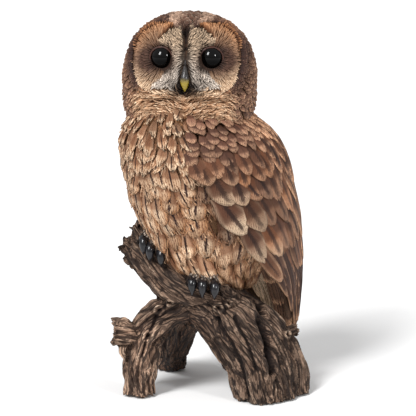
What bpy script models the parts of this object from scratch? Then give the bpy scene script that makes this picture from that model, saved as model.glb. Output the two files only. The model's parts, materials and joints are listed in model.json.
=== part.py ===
"""A life-size tawny owl figure, cast in painted resin, perched on a weathered log.

Shapes are worked out in millimetres and become metres when a mesh is made. +Z is up, and the
front of the figure looks along -Y. The owl has a frame of its own: its origin lies on the floor
between the feet, -Y is the way the breast faces, +X is the bird's left. The head has another,
at its centre, because it is turned on the neck.
"""

import math

import bmesh
import bpy
import numpy as np
from mathutils import Matrix, Vector

MM = 0.001
GAP = 0.35  # kept between pieces that touch, in mm

# Where the owl and the log stand, so that the footprint is centred on the origin, in mm.
FOOTPRINT_SHIFT = (-1.8, -32.8, 0.0)
OWL_AT = (-31.5, -8.0, 0.0)
OWL_HEADING = math.radians(-45)
HEAD_AT = (-0.8, 18.2, 352.0)
HEAD_TURN = math.radians(41)

# The body with its folded wings, cut level. Each row: height, how far the middle lies behind
# the feet, half-width and half-depth.
BODY = np.array(
    (
        (40, 148, 22, 28),
        (60, 141, 30, 39),
        (78, 131, 36, 49),
        (101, 119, 45, 61),
        (131, 100, 56, 78),
        (158, 82, 67, 90),
        (185, 69, 76, 96),
        (213, 56, 82, 98),
        (240, 47, 84, 97),
        (268, 38, 83, 95),
        (290, 29, 78, 87),
        (303, 22, 73, 80),
        (320, 15, 66, 71),
    ),
    float,
)
# The belly under the wings, where it draws in to the log. The same four sizes.
BELLY = np.array(
    (
        (112, 84, 14, 22),
        (118, 80, 30, 38),
        (126, 74, 40, 48),
        (140, 67, 51, 62),
        (158, 66, 62, 77),
        (185, 67, 75, 93),
        (213, 56, 82, 98),
    ),
    float,
)
TORSO_TOP = 302.0
TORSO_HEIGHTS = np.concatenate(((112, 117, 124, 133), np.linspace(145, 285, 9), (295, 302)))
TORSO_AROUND = 30
# How far the torso is let in under the wings and the back feathers, and between which angles
# from the breast, in degrees, it steps in and out.
WING_DEPTH = 8.0
BACK_DEPTH = 4.0
WING_FRONT_STEP = (32, 52)
WING_REAR_STEP = (150, 172)

# The ruff between the head and the shoulders: height and its share of the body's width there.
RUFF = ((300, 0.985), (305, 0.965), (310, 0.91), (314, 0.85), (319, 0.74))
# How much further the ruff climbs up the nape than under the chin.
NAPE_RISE = 0.9

# The head, from its centre, in mm: half-width, front, back, top and bottom.
HEAD_HALF_WIDTH = 71.0
HEAD_FRONT = 57.0
HEAD_BACK = 63.0
HEAD_TOP = 68.0
HEAD_BOTTOM = 54.0
# How square the head is seen from above, over the crown and under the chin: 2 is an ellipse.
HEAD_SQUARE = 2.5
CROWN_SQUARE = 2.15
CHIN_SQUARE = 5.0
# Each facial disc is centred on its eye. Its dish is deepest there.
EYE_OUT = 24.8
EYE_UP = 22.0
DISC_OUT = 35.0
DISC_IN = 24.5
DISC_UP = 37.0
DISC_DOWN = 36.0
DISC_SQUARE = 2.3
DISH_DEPTH = 9.0
RIM_HEIGHT = 3.4
# Two bands of feathers rise between the discs, on either side of a groove: how high, how far
# from the middle, and how wide.
BROW_HEIGHT = 8.0
BROW_OUT = 9.0
BROW_SPREAD = 8.0
GROOVE_DEPTH = 4.0
GROOVE_SPREAD = 2.0
EYE_RADIUS = 13.0
EYE_OPENING = 10.9
EYE_TURN = math.radians(10)
EYE_SUNK = 8.0
SOCKET_FRONT = 12.0
LID_RADIUS = 1.5
# The beak: the heights of its root and tip, how far its root and its ridge lie in front of the
# head's centre, and its widest half-width and depth.
BEAK_TOP = 19.0
BEAK_TIP = -13.0
BEAK_ROOT = 54.0
BEAK_REACH = 67.0
BEAK_WIDE = 6.0
BEAK_DEEP = 7.5

# The folded wing on the unrolled body: height, the front edge's and the rear edge's angle.
WING = np.array(
    (
        (62, 110, 138),
        (78, 97, 150),
        (101, 92, 162),
        (131, 83, 171),
        (158, 69, 173),
        (185, 57, 171),
        (213, 48, 167),
        (240, 41, 162),
        (268, 42, 157),
        (292, 52, 150),
        (303, 62, 142),
    ),
    float,
)
WING_HEIGHTS = np.linspace(66, 300, 12)
WING_ACROSS = 8
# The wing's thickness where it hangs free of the body and where it lies on it.
WING_THIN = 5.0
WING_THICK = 14.0
WING_ROOT = (110, 165)
CHART_RADIUS = 88.0
# Tiers of wing feathers, from the shoulder down. Each: how many, length, half-width, and for
# the first and the last feather of the row the angle round the body, the height of the tip
# and the lean towards the tail.
WING_TIERS = (
    (5, 23, 12.0, (55, 282, 6), (139, 288, 14)),
    (6, 26, 11.5, (49, 264, 8), (147, 269, 16)),
    (6, 30, 12.0, (50, 242, 12), (150, 247, 18)),
    (5, 37, 13.0, (52, 216, 16), (155, 219, 20)),
    (5, 43, 13.0, (58, 187, 20), (160, 188, 22)),
    (5, 52, 12.0, (70, 156, 24), (162, 154, 24)),
    (4, 62, 11.5, (86, 120, 22), (160, 119, 20)),
    (3, 78, 9.5, (105, 86, 18), (150, 84, 11)),
    (2, 82, 9.0, (121, 66, 14), (135, 61, 9)),
)
FEATHERS_SEED = 11
# A feather's stations from root to tip: place, share of its width, and how far it stands up.
VANE = ((0.0, 0.6, -2.6), (0.7, 1.0, 1.4), (1.0, 0.24, 2.1))
VANE_RIDGE = 0.9
VANE_SUNK = -2.4
VANE_THICKNESS = 2.2

# The tail between the wings. Each row: height, how far the upper side lies behind the feet,
# half-width and thickness.
TAIL = np.array(
    (
        (56, 168, 20, 8),
        (75, 171, 25, 13),
        (101, 171, 29, 23),
        (131, 168, 31, 36),
        (158, 162, 31, 47),
        (182, 155, 29, 52),
    ),
    float,
)
TAIL_VAULT = 0.009
TAIL_TOP_FEATHERS = 6
TAIL_UNDER_FEATHERS = 5
TAIL_TIP = 50.0
TAIL_FEATHER_LENGTH = 88.0
TAIL_FEATHER_HALF = 5.8
TAIL_FAN = 3.5
# How far the wings keep clear of the tail's core, which leaves room for its feathers.
TAIL_CLEAR = 3.2

# Limbs of the log: points of the axis and the radius at each, in mm, in the figure's frame.
TRUNK = (
    ((-24, 12, 115), (2, 10, 103), (29, 8, 75), (52, 8, 40), (62, 8, 0)),
    (27, 30, 34, 37, 36),
)
BACK_LIMB = (
    ((-6, 32, 114), (32, 36, 91), (65, 37, 62), (81, 30, 30), (84, 22, 0)),
    (22, 25, 26, 28, 28),
)
BRANCH = (((14, 6, 104), (-24, 10, 121), (-53, 20, 144), (-83, 33, 174)), (26, 27, 26, 24))
FRONT_LEG = (
    ((-16, 6, 108), (-40, 8, 96), (-62, 10, 74), (-73, 12, 42), (-74, 13, 0)),
    (21, 21, 22, 21, 18),
)
REAR_LEG = (
    ((-10, 18, 106), (-26, 46, 84), (-38, 80, 52), (-44, 104, 24), (-44, 120, 0)),
    (22, 22, 22, 20, 17),
)
STUB = (((-58, 8, 64), (-84, 4, 69), (-103, 1, 73)), (14, 16, 17))
KNOB = (((66, 38, 62), (84, 40, 68), (96, 42, 72)), (8, 8, 7))
# For each limb: its sizes, how many points go round it, whether it stands on the floor, and
# how ragged its broken end is.
LIMBS = {
    "log_trunk": (TRUNK, 18, True, 0.0),
    "log_perch_branch": (BRANCH, 18, False, 6.0),
    "log_back_limb": (BACK_LIMB, 16, True, 0.0),
    "log_front_leg": (FRONT_LEG, 14, True, 0.0),
    "log_rear_leg": (REAR_LEG, 14, True, 0.0),
    "log_stub": (STUB, 12, False, 2.5),
    "log_knob": (KNOB, 9, False, 1.0),
}
# The bark's ridges: their height as a share of the radius, and for each wave its share, how
# many ridges go round, how far they wind along the limb, and where they start, in radians.
BARK = 0.07
RIDGES = ((0.6, 5, 2.5, 0.0), (0.5, 3, 6.0, 2.0))

# Each foot in the figure's frame: the ankle, and where each claw leaves its toe.
FEET = {
    "left": ((-4, 2, 148), ((-17, -17, 134), (-6, -19, 132), (7, -19, 130))),
    "right": ((-53, 15, 183), ((-69, 0, 175), (-62, -3, 168), (-50, -6, 163))),
}
# The shank's axis from the ankle and the claw's from its root, with the radii along them.
SHANK = ((8, 24, 30), (4, 12, 16), (0, 0, 2), (0, -5, -5))
SHANK_RADII = (15, 14, 12, 9)
TOE_ARCH = 3.0
TOE_RADII = (7.0, 6.4, 5.4)
CLAW = ((0, 4, 2), (0, -3.5, -1), (0, -5, -7), (0, -2, -14))
CLAW_RADII = (3.4, 3.7, 2.9, 0.6)


def smooth(table, column, at):
    """A column of the table at these first-column values, on a cubic through its rows."""
    x, y = table[:, 0], table[:, column]
    slope = np.gradient(y, x)
    at = np.clip(at, x[0], x[-1])
    i = np.clip(np.searchsorted(x, at) - 1, 0, len(x) - 2)
    h = x[i + 1] - x[i]
    t = (at - x[i]) / h
    return (
        (2 * t**3 - 3 * t**2 + 1) * y[i]
        + (t**3 - 2 * t**2 + t) * h * slope[i]
        + (3 * t**2 - 2 * t**3) * y[i + 1]
        + (t**3 - t**2) * h * slope[i + 1]
    )


def ease(value, low, high):
    """0 below low, 1 above high, with a smooth step between."""
    t = np.clip((value - low) / (high - low), 0, 1)
    return t * t * (3 - 2 * t)


def bump(value, middle, width):
    """A bell curve, 1 at its middle."""
    return np.exp(-(((value - middle) / width) ** 2))


def level_oval(turn, height, middle, wide, deep):
    """Points of a level oval, at an angle from the breast."""
    y = middle - deep * np.cos(turn)
    return np.stack((wide * np.sin(turn), y, height + 0 * turn), axis=-1)


def envelope(turn, height, lift=0.0):
    """The owl's outer form at an angle from the breast and a height. lift moves it outwards."""
    middle, wide, deep = (smooth(BODY, k, height) for k in (1, 2, 3))
    return level_oval(turn, height, middle, wide + lift, deep + lift)


def torso_point(turn, height, lift=0.0):
    """The body under the wings: the outer form, let in where the wings and the back cover it."""
    angle = np.degrees(np.abs(turn))
    inset = WING_DEPTH * ease(angle, *WING_FRONT_STEP)
    inset = inset - (WING_DEPTH - BACK_DEPTH) * ease(angle, *WING_REAR_STEP)
    low = height < BELLY[-1, 0]
    middle, wide, deep = (
        np.where(low, smooth(BELLY, k, height), smooth(BODY, k, height)) for k in (1, 2, 3)
    )
    inset = lift - np.minimum(inset, 0.25 * wide)
    return level_oval(turn, height, middle, wide + inset, deep + inset)


def empty(name, parent, at, turn=0.0):
    """A frame that pieces are placed in."""
    made = bpy.data.objects.new(name, None)
    bpy.context.scene.collection.objects.link(made)
    made.parent = parent
    made.location = Vector(at) * MM
    made.rotation_euler = (0, 0, turn)
    return made


def material(name, colour, roughness):
    """A painted finish."""
    made = bpy.data.materials.new(name)
    made.use_nodes = True
    shader = made.node_tree.nodes["Principled BSDF"]
    shader.inputs["Base Color"].default_value = (*colour, 1)
    shader.inputs["Roughness"].default_value = roughness
    shader.inputs["Metallic"].default_value = 0.0
    return made


def collection(name, hidden=False):
    """A collection in the scene. A hidden one holds cutters."""
    made = bpy.data.collections.new(name)
    bpy.context.scene.collection.children.link(made)
    made.hide_render = hidden
    return made


def add(mesh, parent, group, finish=None):
    """An object for a mesh, smooth, in its frame and collection."""
    mesh.shade_smooth()
    made = bpy.data.objects.new(mesh.name, mesh)
    group.objects.link(made)
    made.parent = parent
    if group.hide_render:
        made.hide_render = True
        made.display_type = "WIRE"
    if finish:
        mesh.materials.append(finish)
    return made


def ring_faces(rings, count):
    """Triangles between rings of equal counts, and a fan on a middle point at either end."""
    faces = []
    for r in range(rings - 1):
        for c in range(count):
            a, b = r * count + c, r * count + (c + 1) % count
            faces += [(a, b, a + count), (b, b + count, a + count)]
    first, last = rings * count, rings * count + 1
    for c in range(count):
        d = (c + 1) % count
        faces += [(d, c, first), ((rings - 1) * count + c, (rings - 1) * count + d, last)]
    return faces


def loft(name, rings, parent, group, finish=None):
    """A closed solid through rings of points, an array of ring by point by xyz, in mm."""
    rings = np.asarray(rings, float)
    count, around = rings.shape[:2]
    ends = np.stack((rings[0].mean(0), rings[-1].mean(0)))
    points = np.concatenate((rings.reshape(-1, 3), ends)) * MM
    faces = np.array(ring_faces(count, around))
    a, b, c = (points[faces[:, k]] for k in range(3))
    if np.einsum("ij,ij->", a, np.cross(b, c)) < 0:
        faces = faces[:, ::-1]
    mesh = bpy.data.meshes.new(name)
    mesh.from_pydata(points, [], faces.tolist())
    return add(mesh, parent, group, finish)


def keep_largest(target):
    """Leaves only the largest closed surface of a mesh, by the volume that it holds."""
    work = bmesh.new()
    work.from_mesh(target.data)
    bmesh.ops.triangulate(work, faces=work.faces)
    left = set(work.verts)
    shells = []
    while left:
        start = left.pop()
        shell, front = {start}, [start]
        while front:
            for edge in front.pop().link_edges:
                for vertex in edge.verts:
                    if vertex in left:
                        left.remove(vertex)
                        shell.add(vertex)
                        front.append(vertex)
        faces = {face for vertex in shell for face in vertex.link_faces}
        volume = sum(f.verts[0].co.dot(f.verts[1].co.cross(f.verts[2].co)) for f in faces)
        shells.append((abs(volume), shell))
    shells.sort(key=lambda pair: pair[0])
    for _, shell in shells[:-1]:
        bmesh.ops.delete(work, geom=list(shell), context="VERTS")
    work.to_mesh(target.data)
    work.free()
    target.data.shade_smooth()


def boolean(target, operation, tool=None, group=None, solver="EXACT"):
    """Cuts or joins, and keeps the result in the object's own mesh."""
    modifier = target.modifiers.new(operation, "BOOLEAN")
    modifier.operation = operation
    modifier.solver = solver
    if group:
        modifier.operand_type = "COLLECTION"
        modifier.collection = group
    else:
        modifier.object = tool
    bpy.context.view_layer.update()
    graph = bpy.context.evaluated_depsgraph_get()
    mesh = bpy.data.meshes.new_from_object(target.evaluated_get(graph))
    target.modifiers.clear()
    target.data = mesh
    keep_largest(target)


def cut(target, *tools, solver="EXACT"):
    """Takes each tool out of the target."""
    for tool in tools:
        boolean(target, "DIFFERENCE", tool, solver=solver)


def join_all(target, pieces):
    """Fuses closed pieces into the target with one union."""
    group = collection("joining")
    for piece in pieces:
        for user in list(piece.users_collection):
            user.objects.unlink(piece)
        group.objects.link(piece)
    boolean(target, "UNION", group=group)
    for piece in pieces:
        bpy.data.objects.remove(piece)
    bpy.data.collections.remove(group)


def torso(name, parent, group, finish=None, lift=0.0):
    """Breast, belly and back, without the wings."""
    turn = np.linspace(-np.pi, np.pi, TORSO_AROUND, endpoint=False)
    rings = np.stack([torso_point(turn, np.full(len(turn), h), lift) for h in TORSO_HEIGHTS])
    rings[0, :, 2] -= lift
    rings[-1, :, 2] += lift
    return loft(name, rings, parent, group, finish)


def neck(name, parent, group, finish=None, lift=0.0):
    """The ruff of feathers that slopes from the shoulders up to the head."""
    turn = np.linspace(-np.pi, np.pi, TORSO_AROUND, endpoint=False)
    middle, wide, deep = (smooth(BODY, k, TORSO_TOP) for k in (1, 2, 3))
    climb = 1 + NAPE_RISE * 0.5 * (1 - np.cos(turn))
    rings = []
    for height, share in RUFF:
        level = TORSO_TOP + (height - TORSO_TOP) * climb
        rings.append(level_oval(turn, level, middle, wide * share + lift, deep * share + lift))
    rings[0][:, 2] -= lift
    rings[-1][:, 2] += lift
    return loft(name, rings, parent, group, finish)


def head_point(azimuth, tilt, lift=0.0):
    """The head's surface seen from its centre, with the dished face. Angles in radians."""
    dx = np.sin(azimuth) * np.cos(tilt)
    dy = -np.cos(azimuth) * np.cos(tilt)
    dz = np.sin(tilt)
    deep = np.where(dy < 0, HEAD_FRONT, HEAD_BACK)
    level = np.abs(dx / HEAD_HALF_WIDTH) ** HEAD_SQUARE + np.abs(dy / deep) ** HEAD_SQUARE
    level = level ** (1 / HEAD_SQUARE)
    rise = np.abs(dz) / np.where(dz > 0, HEAD_TOP, HEAD_BOTTOM)
    power = np.where(dz > 0, CROWN_SQUARE, CHIN_SQUARE)
    radius = (level**power + rise**power) ** (-1 / power)
    x, z = np.abs(radius * dx), radius * dz
    out = x - EYE_OUT
    up = z - EYE_UP
    share = (
        np.abs(out / np.where(out > 0, DISC_OUT, DISC_IN)) ** DISC_SQUARE
        + np.abs(up / np.where(up > 0, DISC_UP, DISC_DOWN)) ** DISC_SQUARE
    ) ** (1 / DISC_SQUARE)
    dish = -DISH_DEPTH * (1 - np.clip(share, 0, 1) ** 2)
    rim = RIM_HEIGHT * (bump(share, 1.03, 0.13) - 0.7 * bump(share, 1.32, 0.12))
    brow = BROW_HEIGHT * bump(x, BROW_OUT, BROW_SPREAD) * ease(z, -30, 0)
    groove = -GROOVE_DEPTH * bump(x, 0, GROOVE_SPREAD) * ease(z, 14, 24)
    middle = (brow + groove) * (1 - ease(z, 42, 58))
    front = ease(-dy, 0.05, 0.35)
    radius = radius + front * (dish + rim + middle) + lift
    return np.stack((radius * dx, radius * dy, radius * dz), axis=-1)


def head(name, parent, group, finish=None, lift=0.0):
    """The head with both facial discs. Its rings are closest together on the face."""
    azimuths = np.radians(np.concatenate((np.linspace(-84, 84, 31), np.linspace(100, 260, 9))))
    tilts = np.radians(np.concatenate(((-50, -40), np.linspace(-32, 60, 18), (70, 81))))
    rings = np.stack([head_point(azimuths, np.full(len(azimuths), t), lift) for t in tilts])
    return loft(name, rings, parent, group, finish)


def eye_centre(side):
    """Where an eye's centre lies in the head's frame. side is 1 for the bird's left."""
    azimuth = math.atan2(EYE_OUT, HEAD_FRONT - SOCKET_FRONT)
    tilt = math.atan2(EYE_UP, HEAD_FRONT)
    on_face = head_point(np.array(azimuth), np.array(tilt))
    return Vector((side * EYE_OUT, float(on_face[1]) + EYE_SUNK, EYE_UP))


def eye_ball(name, side, parent, group, finish=None, lift=0.0):
    """A glass eye."""
    mesh = bpy.data.meshes.new(name)
    work = bmesh.new()
    bmesh.ops.create_uvsphere(work, u_segments=16, v_segments=8, radius=(EYE_RADIUS + lift) * MM)
    bmesh.ops.rotate(work, verts=work.verts, matrix=Matrix.Rotation(math.pi / 2, 3, "X"))
    bmesh.ops.rotate(work, verts=work.verts, matrix=Matrix.Rotation(side * EYE_TURN, 3, "Z"))
    bmesh.ops.translate(work, verts=work.verts, vec=eye_centre(side) * MM)
    bmesh.ops.triangulate(work, faces=work.faces)
    work.to_mesh(mesh)
    work.free()
    return add(mesh, parent, group, finish)


def eye_lid(side, parent):
    """The ring of lid round an eye, which the head is joined with."""
    bpy.ops.mesh.primitive_torus_add(
        major_segments=16,
        minor_segments=5,
        major_radius=(EYE_OPENING + 0.4) * MM,
        minor_radius=LID_RADIUS * MM,
    )
    made = bpy.context.object
    made.parent = parent
    facing = Vector((side * math.sin(EYE_TURN), -math.cos(EYE_TURN), 0))
    forward = math.sqrt(EYE_RADIUS**2 - EYE_OPENING**2)
    made.location = (eye_centre(side) + forward * facing) * MM
    made.rotation_euler = facing.to_track_quat("Z", "Y").to_euler()
    return made


def beak(name, parent, group, finish=None):
    """The hooked bill: round sections along a curve that leaves the face and turns down."""
    rings = []
    around = np.linspace(0, 2 * np.pi, 12, endpoint=False)
    for t in np.linspace(0, 1, 9):
        bend = -math.radians(10 + 78 * t)
        forward = math.sin(math.pi * 0.5 * min(1, t * 1.3))
        middle_y = -BEAK_ROOT - (BEAK_REACH - BEAK_ROOT) * forward + 4 * t**4
        middle_z = BEAK_TOP + (BEAK_TIP - BEAK_TOP) * t
        swell = 0.4 + 0.6 * float(ease(t, 0, 0.55))
        wide = BEAK_WIDE * swell * (1 - max(0, (t - 0.5) / 0.5) ** 1.5) + 0.3
        deep = BEAK_DEEP * (1 - t) ** 0.8 + 0.5
        along = deep * np.cos(around)
        rings.append(
            np.stack(
                (
                    wide * np.sin(around),
                    middle_y + along * math.sin(bend),
                    middle_z + along * math.cos(bend),
                ),
                axis=-1,
            )
        )
    return loft(name, rings, parent, group, finish)


def wing_core(name, side, parent, group, finish=None):
    """The wing under its feathers: a plate that follows the body, thin at its edges."""
    across = np.linspace(0, 1, WING_ACROSS)
    rings = []
    for h in WING_HEIGHTS:
        first, last = (math.radians(smooth(WING, k, np.array(h))) for k in (1, 2))
        turn = side * (first + (last - first) * across)
        level = np.full(len(turn), h)
        edge = np.minimum(across, 1 - across) * (last - first) * CHART_RADIUS
        edge = np.minimum(edge, 0.8 * min(h - WING[0, 0], WING[-1, 0] - h))
        plump = ease(edge, -6, 16)
        thick = WING_THIN + (WING_THICK - WING_THIN) * ease(np.array(h), *WING_ROOT)
        outer = envelope(turn, level, -1.0 - 3.5 * (1 - plump))
        inner = envelope(turn, level, -1.5 - thick * (0.55 + 0.45 * plump))
        rings.append(np.concatenate((outer, inner[::-1])))
    return loft(name, rings, parent, group, finish)


def vane(name, chart, tip, lean, length, half_width, parent, group, rise=1.0):
    """A feather as a flat blade that lies on a chart of its node's surface.

    chart turns (across, up, lift) in mm into points. The root is sunk under the surface and
    the tip stands proud, so that each tier steps down on to the next.
    """
    down = np.array((math.sin(lean), -math.cos(lean)))
    side = np.array((math.cos(lean), math.sin(lean)))
    root = np.asarray(tip, float) - length * down
    rings = []
    for t, share, lift in VANE:
        middle = root + t * length * down
        wide = share * half_width * side
        places = np.stack((middle - wide, middle, middle + wide, middle + wide, middle - wide))
        lift = lift * rise
        low = min(VANE_SUNK, lift - VANE_THICKNESS)
        lifts = np.array((lift, lift + VANE_RIDGE * share * rise, lift, low, low))
        rings.append(chart(places[:, 0], places[:, 1], lifts))
    return loft(name, rings, parent, group)


def wing_chart(side):
    """Maps distance round the body and height to the wing's surface."""
    return lambda across, up, lift: envelope(side * across / CHART_RADIUS, up, lift - 1.0)


def wing_feathers(side, parent, group):
    """Every tier of one wing, each set half a feather over from the one above."""
    draw = np.random.default_rng(FEATHERS_SEED)
    made = []
    for tier, (count, length, half_width, front, back) in enumerate(WING_TIERS):
        stagger = 0.25 if tier % 2 else -0.25
        for i in range(count):
            share = (i + stagger * math.sin(math.pi * i / (count - 1))) / (count - 1)
            angle, height, lean = (a + (b - a) * share for a, b in zip(front, back))
            place = (
                math.radians(angle) * CHART_RADIUS + draw.uniform(-1, 1),
                height + draw.uniform(-2, 2) - 3 * math.sin(math.pi * share),
            )
            made.append(
                vane(
                    f"vane_{side}_{tier}_{i}",
                    wing_chart(side),
                    place,
                    math.radians(lean + draw.uniform(-3, 3)),
                    length * draw.uniform(0.94, 1.06),
                    half_width * draw.uniform(0.94, 1.06),
                    parent,
                    group,
                )
            )
    return made


def tail_upper(across, up, lift):
    """Maps distance across the tail and height to its upper side, which is vaulted."""
    y = smooth(TAIL, 1, up) - TAIL_VAULT * across**2 + lift
    return np.stack((across, y, up + 0.35 * lift), axis=-1)


def tail_under(across, up, lift):
    """Maps distance across the tail and height to its under side, which is nearly flat."""
    y = smooth(TAIL, 1, up) - smooth(TAIL, 3, up) - 0.3 * TAIL_VAULT * across**2 - lift
    return np.stack((across, y, up - 0.35 * lift), axis=-1)


def tail_core(name, parent, group, finish=None, lift=0.0):
    """The tail under its feathers: a wedge that thins towards its end."""
    rings = []
    for height in np.linspace(TAIL[0, 0] + 2, TAIL[-1, 0], 9):
        wide = smooth(TAIL, 2, np.array(height)) + lift
        across = np.linspace(-wide, wide, 7)
        level = np.full(7, height)
        upper = tail_upper(across, level, 0 * across)
        under = tail_under(across, level, 0 * across)
        upper[:, 1] += lift
        under[:, 1] -= lift
        rings.append(np.concatenate((upper, under[::-1])))
    rings[0][:, 2] -= 3 * lift
    return loft(name, rings, parent, group, finish)


def tail(name, parent, group, finish):
    """Stiff feathers, fanned a little, above and below the core."""
    core = tail_core(name, parent, group, finish)
    feathers = []
    for word, chart, count, rise in (
        ("upper", tail_upper, TAIL_TOP_FEATHERS, 0.9),
        ("under", tail_under, TAIL_UNDER_FEATHERS, 0.7),
    ):
        for i in range(count):
            share = 2 * i / (count - 1) - 1
            tip = (share * 17.5, TAIL_TIP + 6 * share**2)
            feathers.append(
                vane(
                    f"tail_{word}_{i}",
                    chart,
                    tip,
                    -math.radians(TAIL_FAN * share),
                    TAIL_FEATHER_LENGTH,
                    TAIL_FEATHER_HALF,
                    parent,
                    group,
                    rise * (1.1 - 0.35 * abs(share)),
                )
            )
    join_all(core, feathers)
    return core


def tube_rings(path, radii, around, steps=2, bark=0.0, lift=0.0, stands=False, ragged=0.0):
    """Rings of a limb along a path of points, with ridges that run along it.

    The rings turn with the path. Where it stands, the last ring lies level on the floor. A
    ragged end breaks off at uneven lengths round its edge.
    """
    knots = np.linspace(0, 1, len(path))
    places = np.linspace(0, 1, steps * (len(path) - 1) + 1)
    table = np.column_stack((knots, np.asarray(path, float), np.asarray(radii, float)))
    centre = np.stack([smooth(table, k, places) for k in (1, 2, 3)], axis=-1)
    radius = smooth(table, 4, places)
    along = np.gradient(centre, axis=0)
    along /= np.linalg.norm(along, axis=1)[:, None]
    if stands:
        blend = ease(places, 0.55, 1.0)[:, None]
        along = (1 - blend) * along + blend * np.array((0, 0, -1.0))
        along /= np.linalg.norm(along, axis=1)[:, None]
    side = np.cross(along, np.array((0.15, 1.0, 0.1)))
    side /= np.linalg.norm(side, axis=1)[:, None]
    deep = np.cross(side, along)
    turn = np.linspace(0, 2 * np.pi, around, endpoint=False)
    rings = []
    for c, r, s, d, at in zip(centre, radius, side, deep, places):
        ridge = sum(a * np.sin(n * turn + wind * at + start) for a, n, wind, start in RIDGES)
        reach = r * (1 + bark * ridge) + lift
        rings.append(c + (reach * np.cos(turn))[:, None] * s + (reach * np.sin(turn))[:, None] * d)
    rings = np.stack(rings)
    if stands:
        rings[-1][:, 2] = -lift
    else:
        torn = ragged * (np.sin(3 * turn + 0.6) + 0.6 * np.sin(5 * turn)) + lift
        rings[-1] += torn[:, None] * along[-1]
    return rings


def limb(name, label, parent, group, finish=None, lift=0.0):
    """One limb of the log, or its cutter where lift is set."""
    (path, radii), around, stands, ragged = LIMBS[name]
    rings = tube_rings(path, radii, around, 2, BARK, lift, stands, ragged)
    return loft(label, rings, parent, group, finish)


def leg(name, side, parent, group, finish=None, lift=0.0):
    """The feathered shank from the belly to the toes, with its three front toes."""
    ankle, roots = FEET[side]
    ankle = np.array(ankle, float)
    rings = tube_rings([ankle + step for step in SHANK], SHANK_RADII, 12, 1, 0.04, lift)
    made = loft(name, rings, parent, group, finish)
    toes = []
    for i, root in enumerate(roots):
        root = np.array(root, float)
        arch = 0.4 * ankle + 0.6 * root + (0, 0, TOE_ARCH)
        rings = tube_rings((ankle, arch, root), TOE_RADII, 8, 2, 0.0, lift)
        toes.append(loft(f"{name}_toe_{i}", rings, parent, group))
    join_all(made, toes)
    return made


def claw(label, root, parent, group, finish):
    """A curved black claw that hooks down from a toe's end."""
    path = [np.add(root, step) for step in CLAW]
    return loft(label, tube_rings(path, CLAW_RADII, 7), parent, group, finish)


def build_log(figure, parts, cutters, finish):
    """Every limb of the log, each cut clear of those before it. Returns the cutters."""
    wraps = []
    for name in LIMBS:
        made = limb(name, name, figure, parts, finish)
        cut(made, *wraps)
        wraps.append(limb(name, f"cut_{name}", figure, cutters, lift=GAP))
    return wraps


def build_head(head_frame, parts, cutters, finishes, shoulders):
    """Head, eyes and beak. Returns the cutter of the head."""
    skull = head("head", head_frame, parts, finishes["plumage"])
    join_all(skull, [eye_lid(side, head_frame) for side in (-1, 1)])
    cut(skull, *shoulders)
    for side, word in ((1, "left"), (-1, "right")):
        eye_ball(f"eye_{word}", side, head_frame, parts, finishes["glass"])
        cut(skull, eye_ball(f"cut_eye_{word}", side, head_frame, cutters, lift=GAP))
    wrap = head("cut_head", head_frame, cutters, lift=GAP)
    cut(beak("beak", head_frame, parts, finishes["bill"]), wrap)
    return wrap


def build_feet(figure, parts, cutters, finishes, obstacles):
    """Both legs with their toes, and the claws."""
    for word, (_, roots) in FEET.items():
        made = leg(f"leg_{word}", word, figure, parts, finishes["breast"])
        cut(made, *obstacles)
        wrap = leg(f"cut_leg_{word}", word, figure, cutters, lift=GAP)
        for i, root in enumerate(roots):
            nail = claw(f"claw_{word}_{i + 1}", root, figure, parts, finishes["horn"])
            cut(nail, wrap, *obstacles)


def main():
    """Builds every sub-part of the figure."""
    for old in list(bpy.data.objects):
        bpy.data.objects.remove(old)
    parts = collection("tawny_owl_figure")
    cutters = collection("cutters", hidden=True)
    finishes = {
        "plumage": material("brown plumage", (0.30, 0.17, 0.09), 0.6),
        "breast": material("buff plumage", (0.50, 0.33, 0.19), 0.6),
        "bark": material("painted bark", (0.12, 0.075, 0.05), 0.7),
        "glass": material("black glass", (0.01, 0.01, 0.01), 0.05),
        "horn": material("black horn", (0.015, 0.015, 0.018), 0.2),
        "bill": material("yellow bill", (0.45, 0.38, 0.05), 0.35),
    }

    figure = empty("figure", None, FOOTPRINT_SHIFT)
    owl = empty("owl", figure, OWL_AT, OWL_HEADING)
    head_frame = empty("head_frame", owl, HEAD_AT, HEAD_TURN)

    log = build_log(figure, parts, cutters, finishes["bark"])
    cut(torso("torso", owl, parts, finishes["breast"]), *log)
    torso_wrap = torso("cut_torso", owl, cutters, lift=GAP)
    cut(neck("neck", owl, parts, finishes["breast"]), torso_wrap)
    neck_wrap = neck("cut_neck", owl, cutters, lift=GAP)
    head_wrap = build_head(head_frame, parts, cutters, finishes, (torso_wrap, neck_wrap))

    cut(tail("tail", owl, parts, finishes["plumage"]), torso_wrap, *log)
    tail_wrap = tail_core("cut_tail", owl, cutters, lift=TAIL_CLEAR)
    for side, word in ((1, "left"), (-1, "right")):
        wing = wing_core(f"wing_{word}", side, owl, parts, finishes["plumage"])
        join_all(wing, wing_feathers(side, owl, parts))
        cut(wing, torso_wrap, neck_wrap, head_wrap)
        cut(wing, tail_wrap, *log, solver="MANIFOLD")
    build_feet(figure, parts, cutters, finishes, (torso_wrap, *log))


main()
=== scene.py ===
"""Dresses a life-size tawny owl, cast in resin and painted, on its weathered log.

Shapes are worked out in millimetres and become metres when a mesh is made. +Z is up and the
front of the figure looks along -Y. The owl has a frame of its own, whose -Y is the way the
breast faces and whose +X is the bird's left, and the head has another at its centre. One skin
lies under the plumage. Every feather is a thin closed blade, laid on the surface it grows from.
"""

import json
import logging
import math
from dataclasses import dataclass, field, fields
from enum import Enum
from typing import Any, Callable, Sequence

import bpy
import numpy as np
from mathutils import Matrix, Vector

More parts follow.
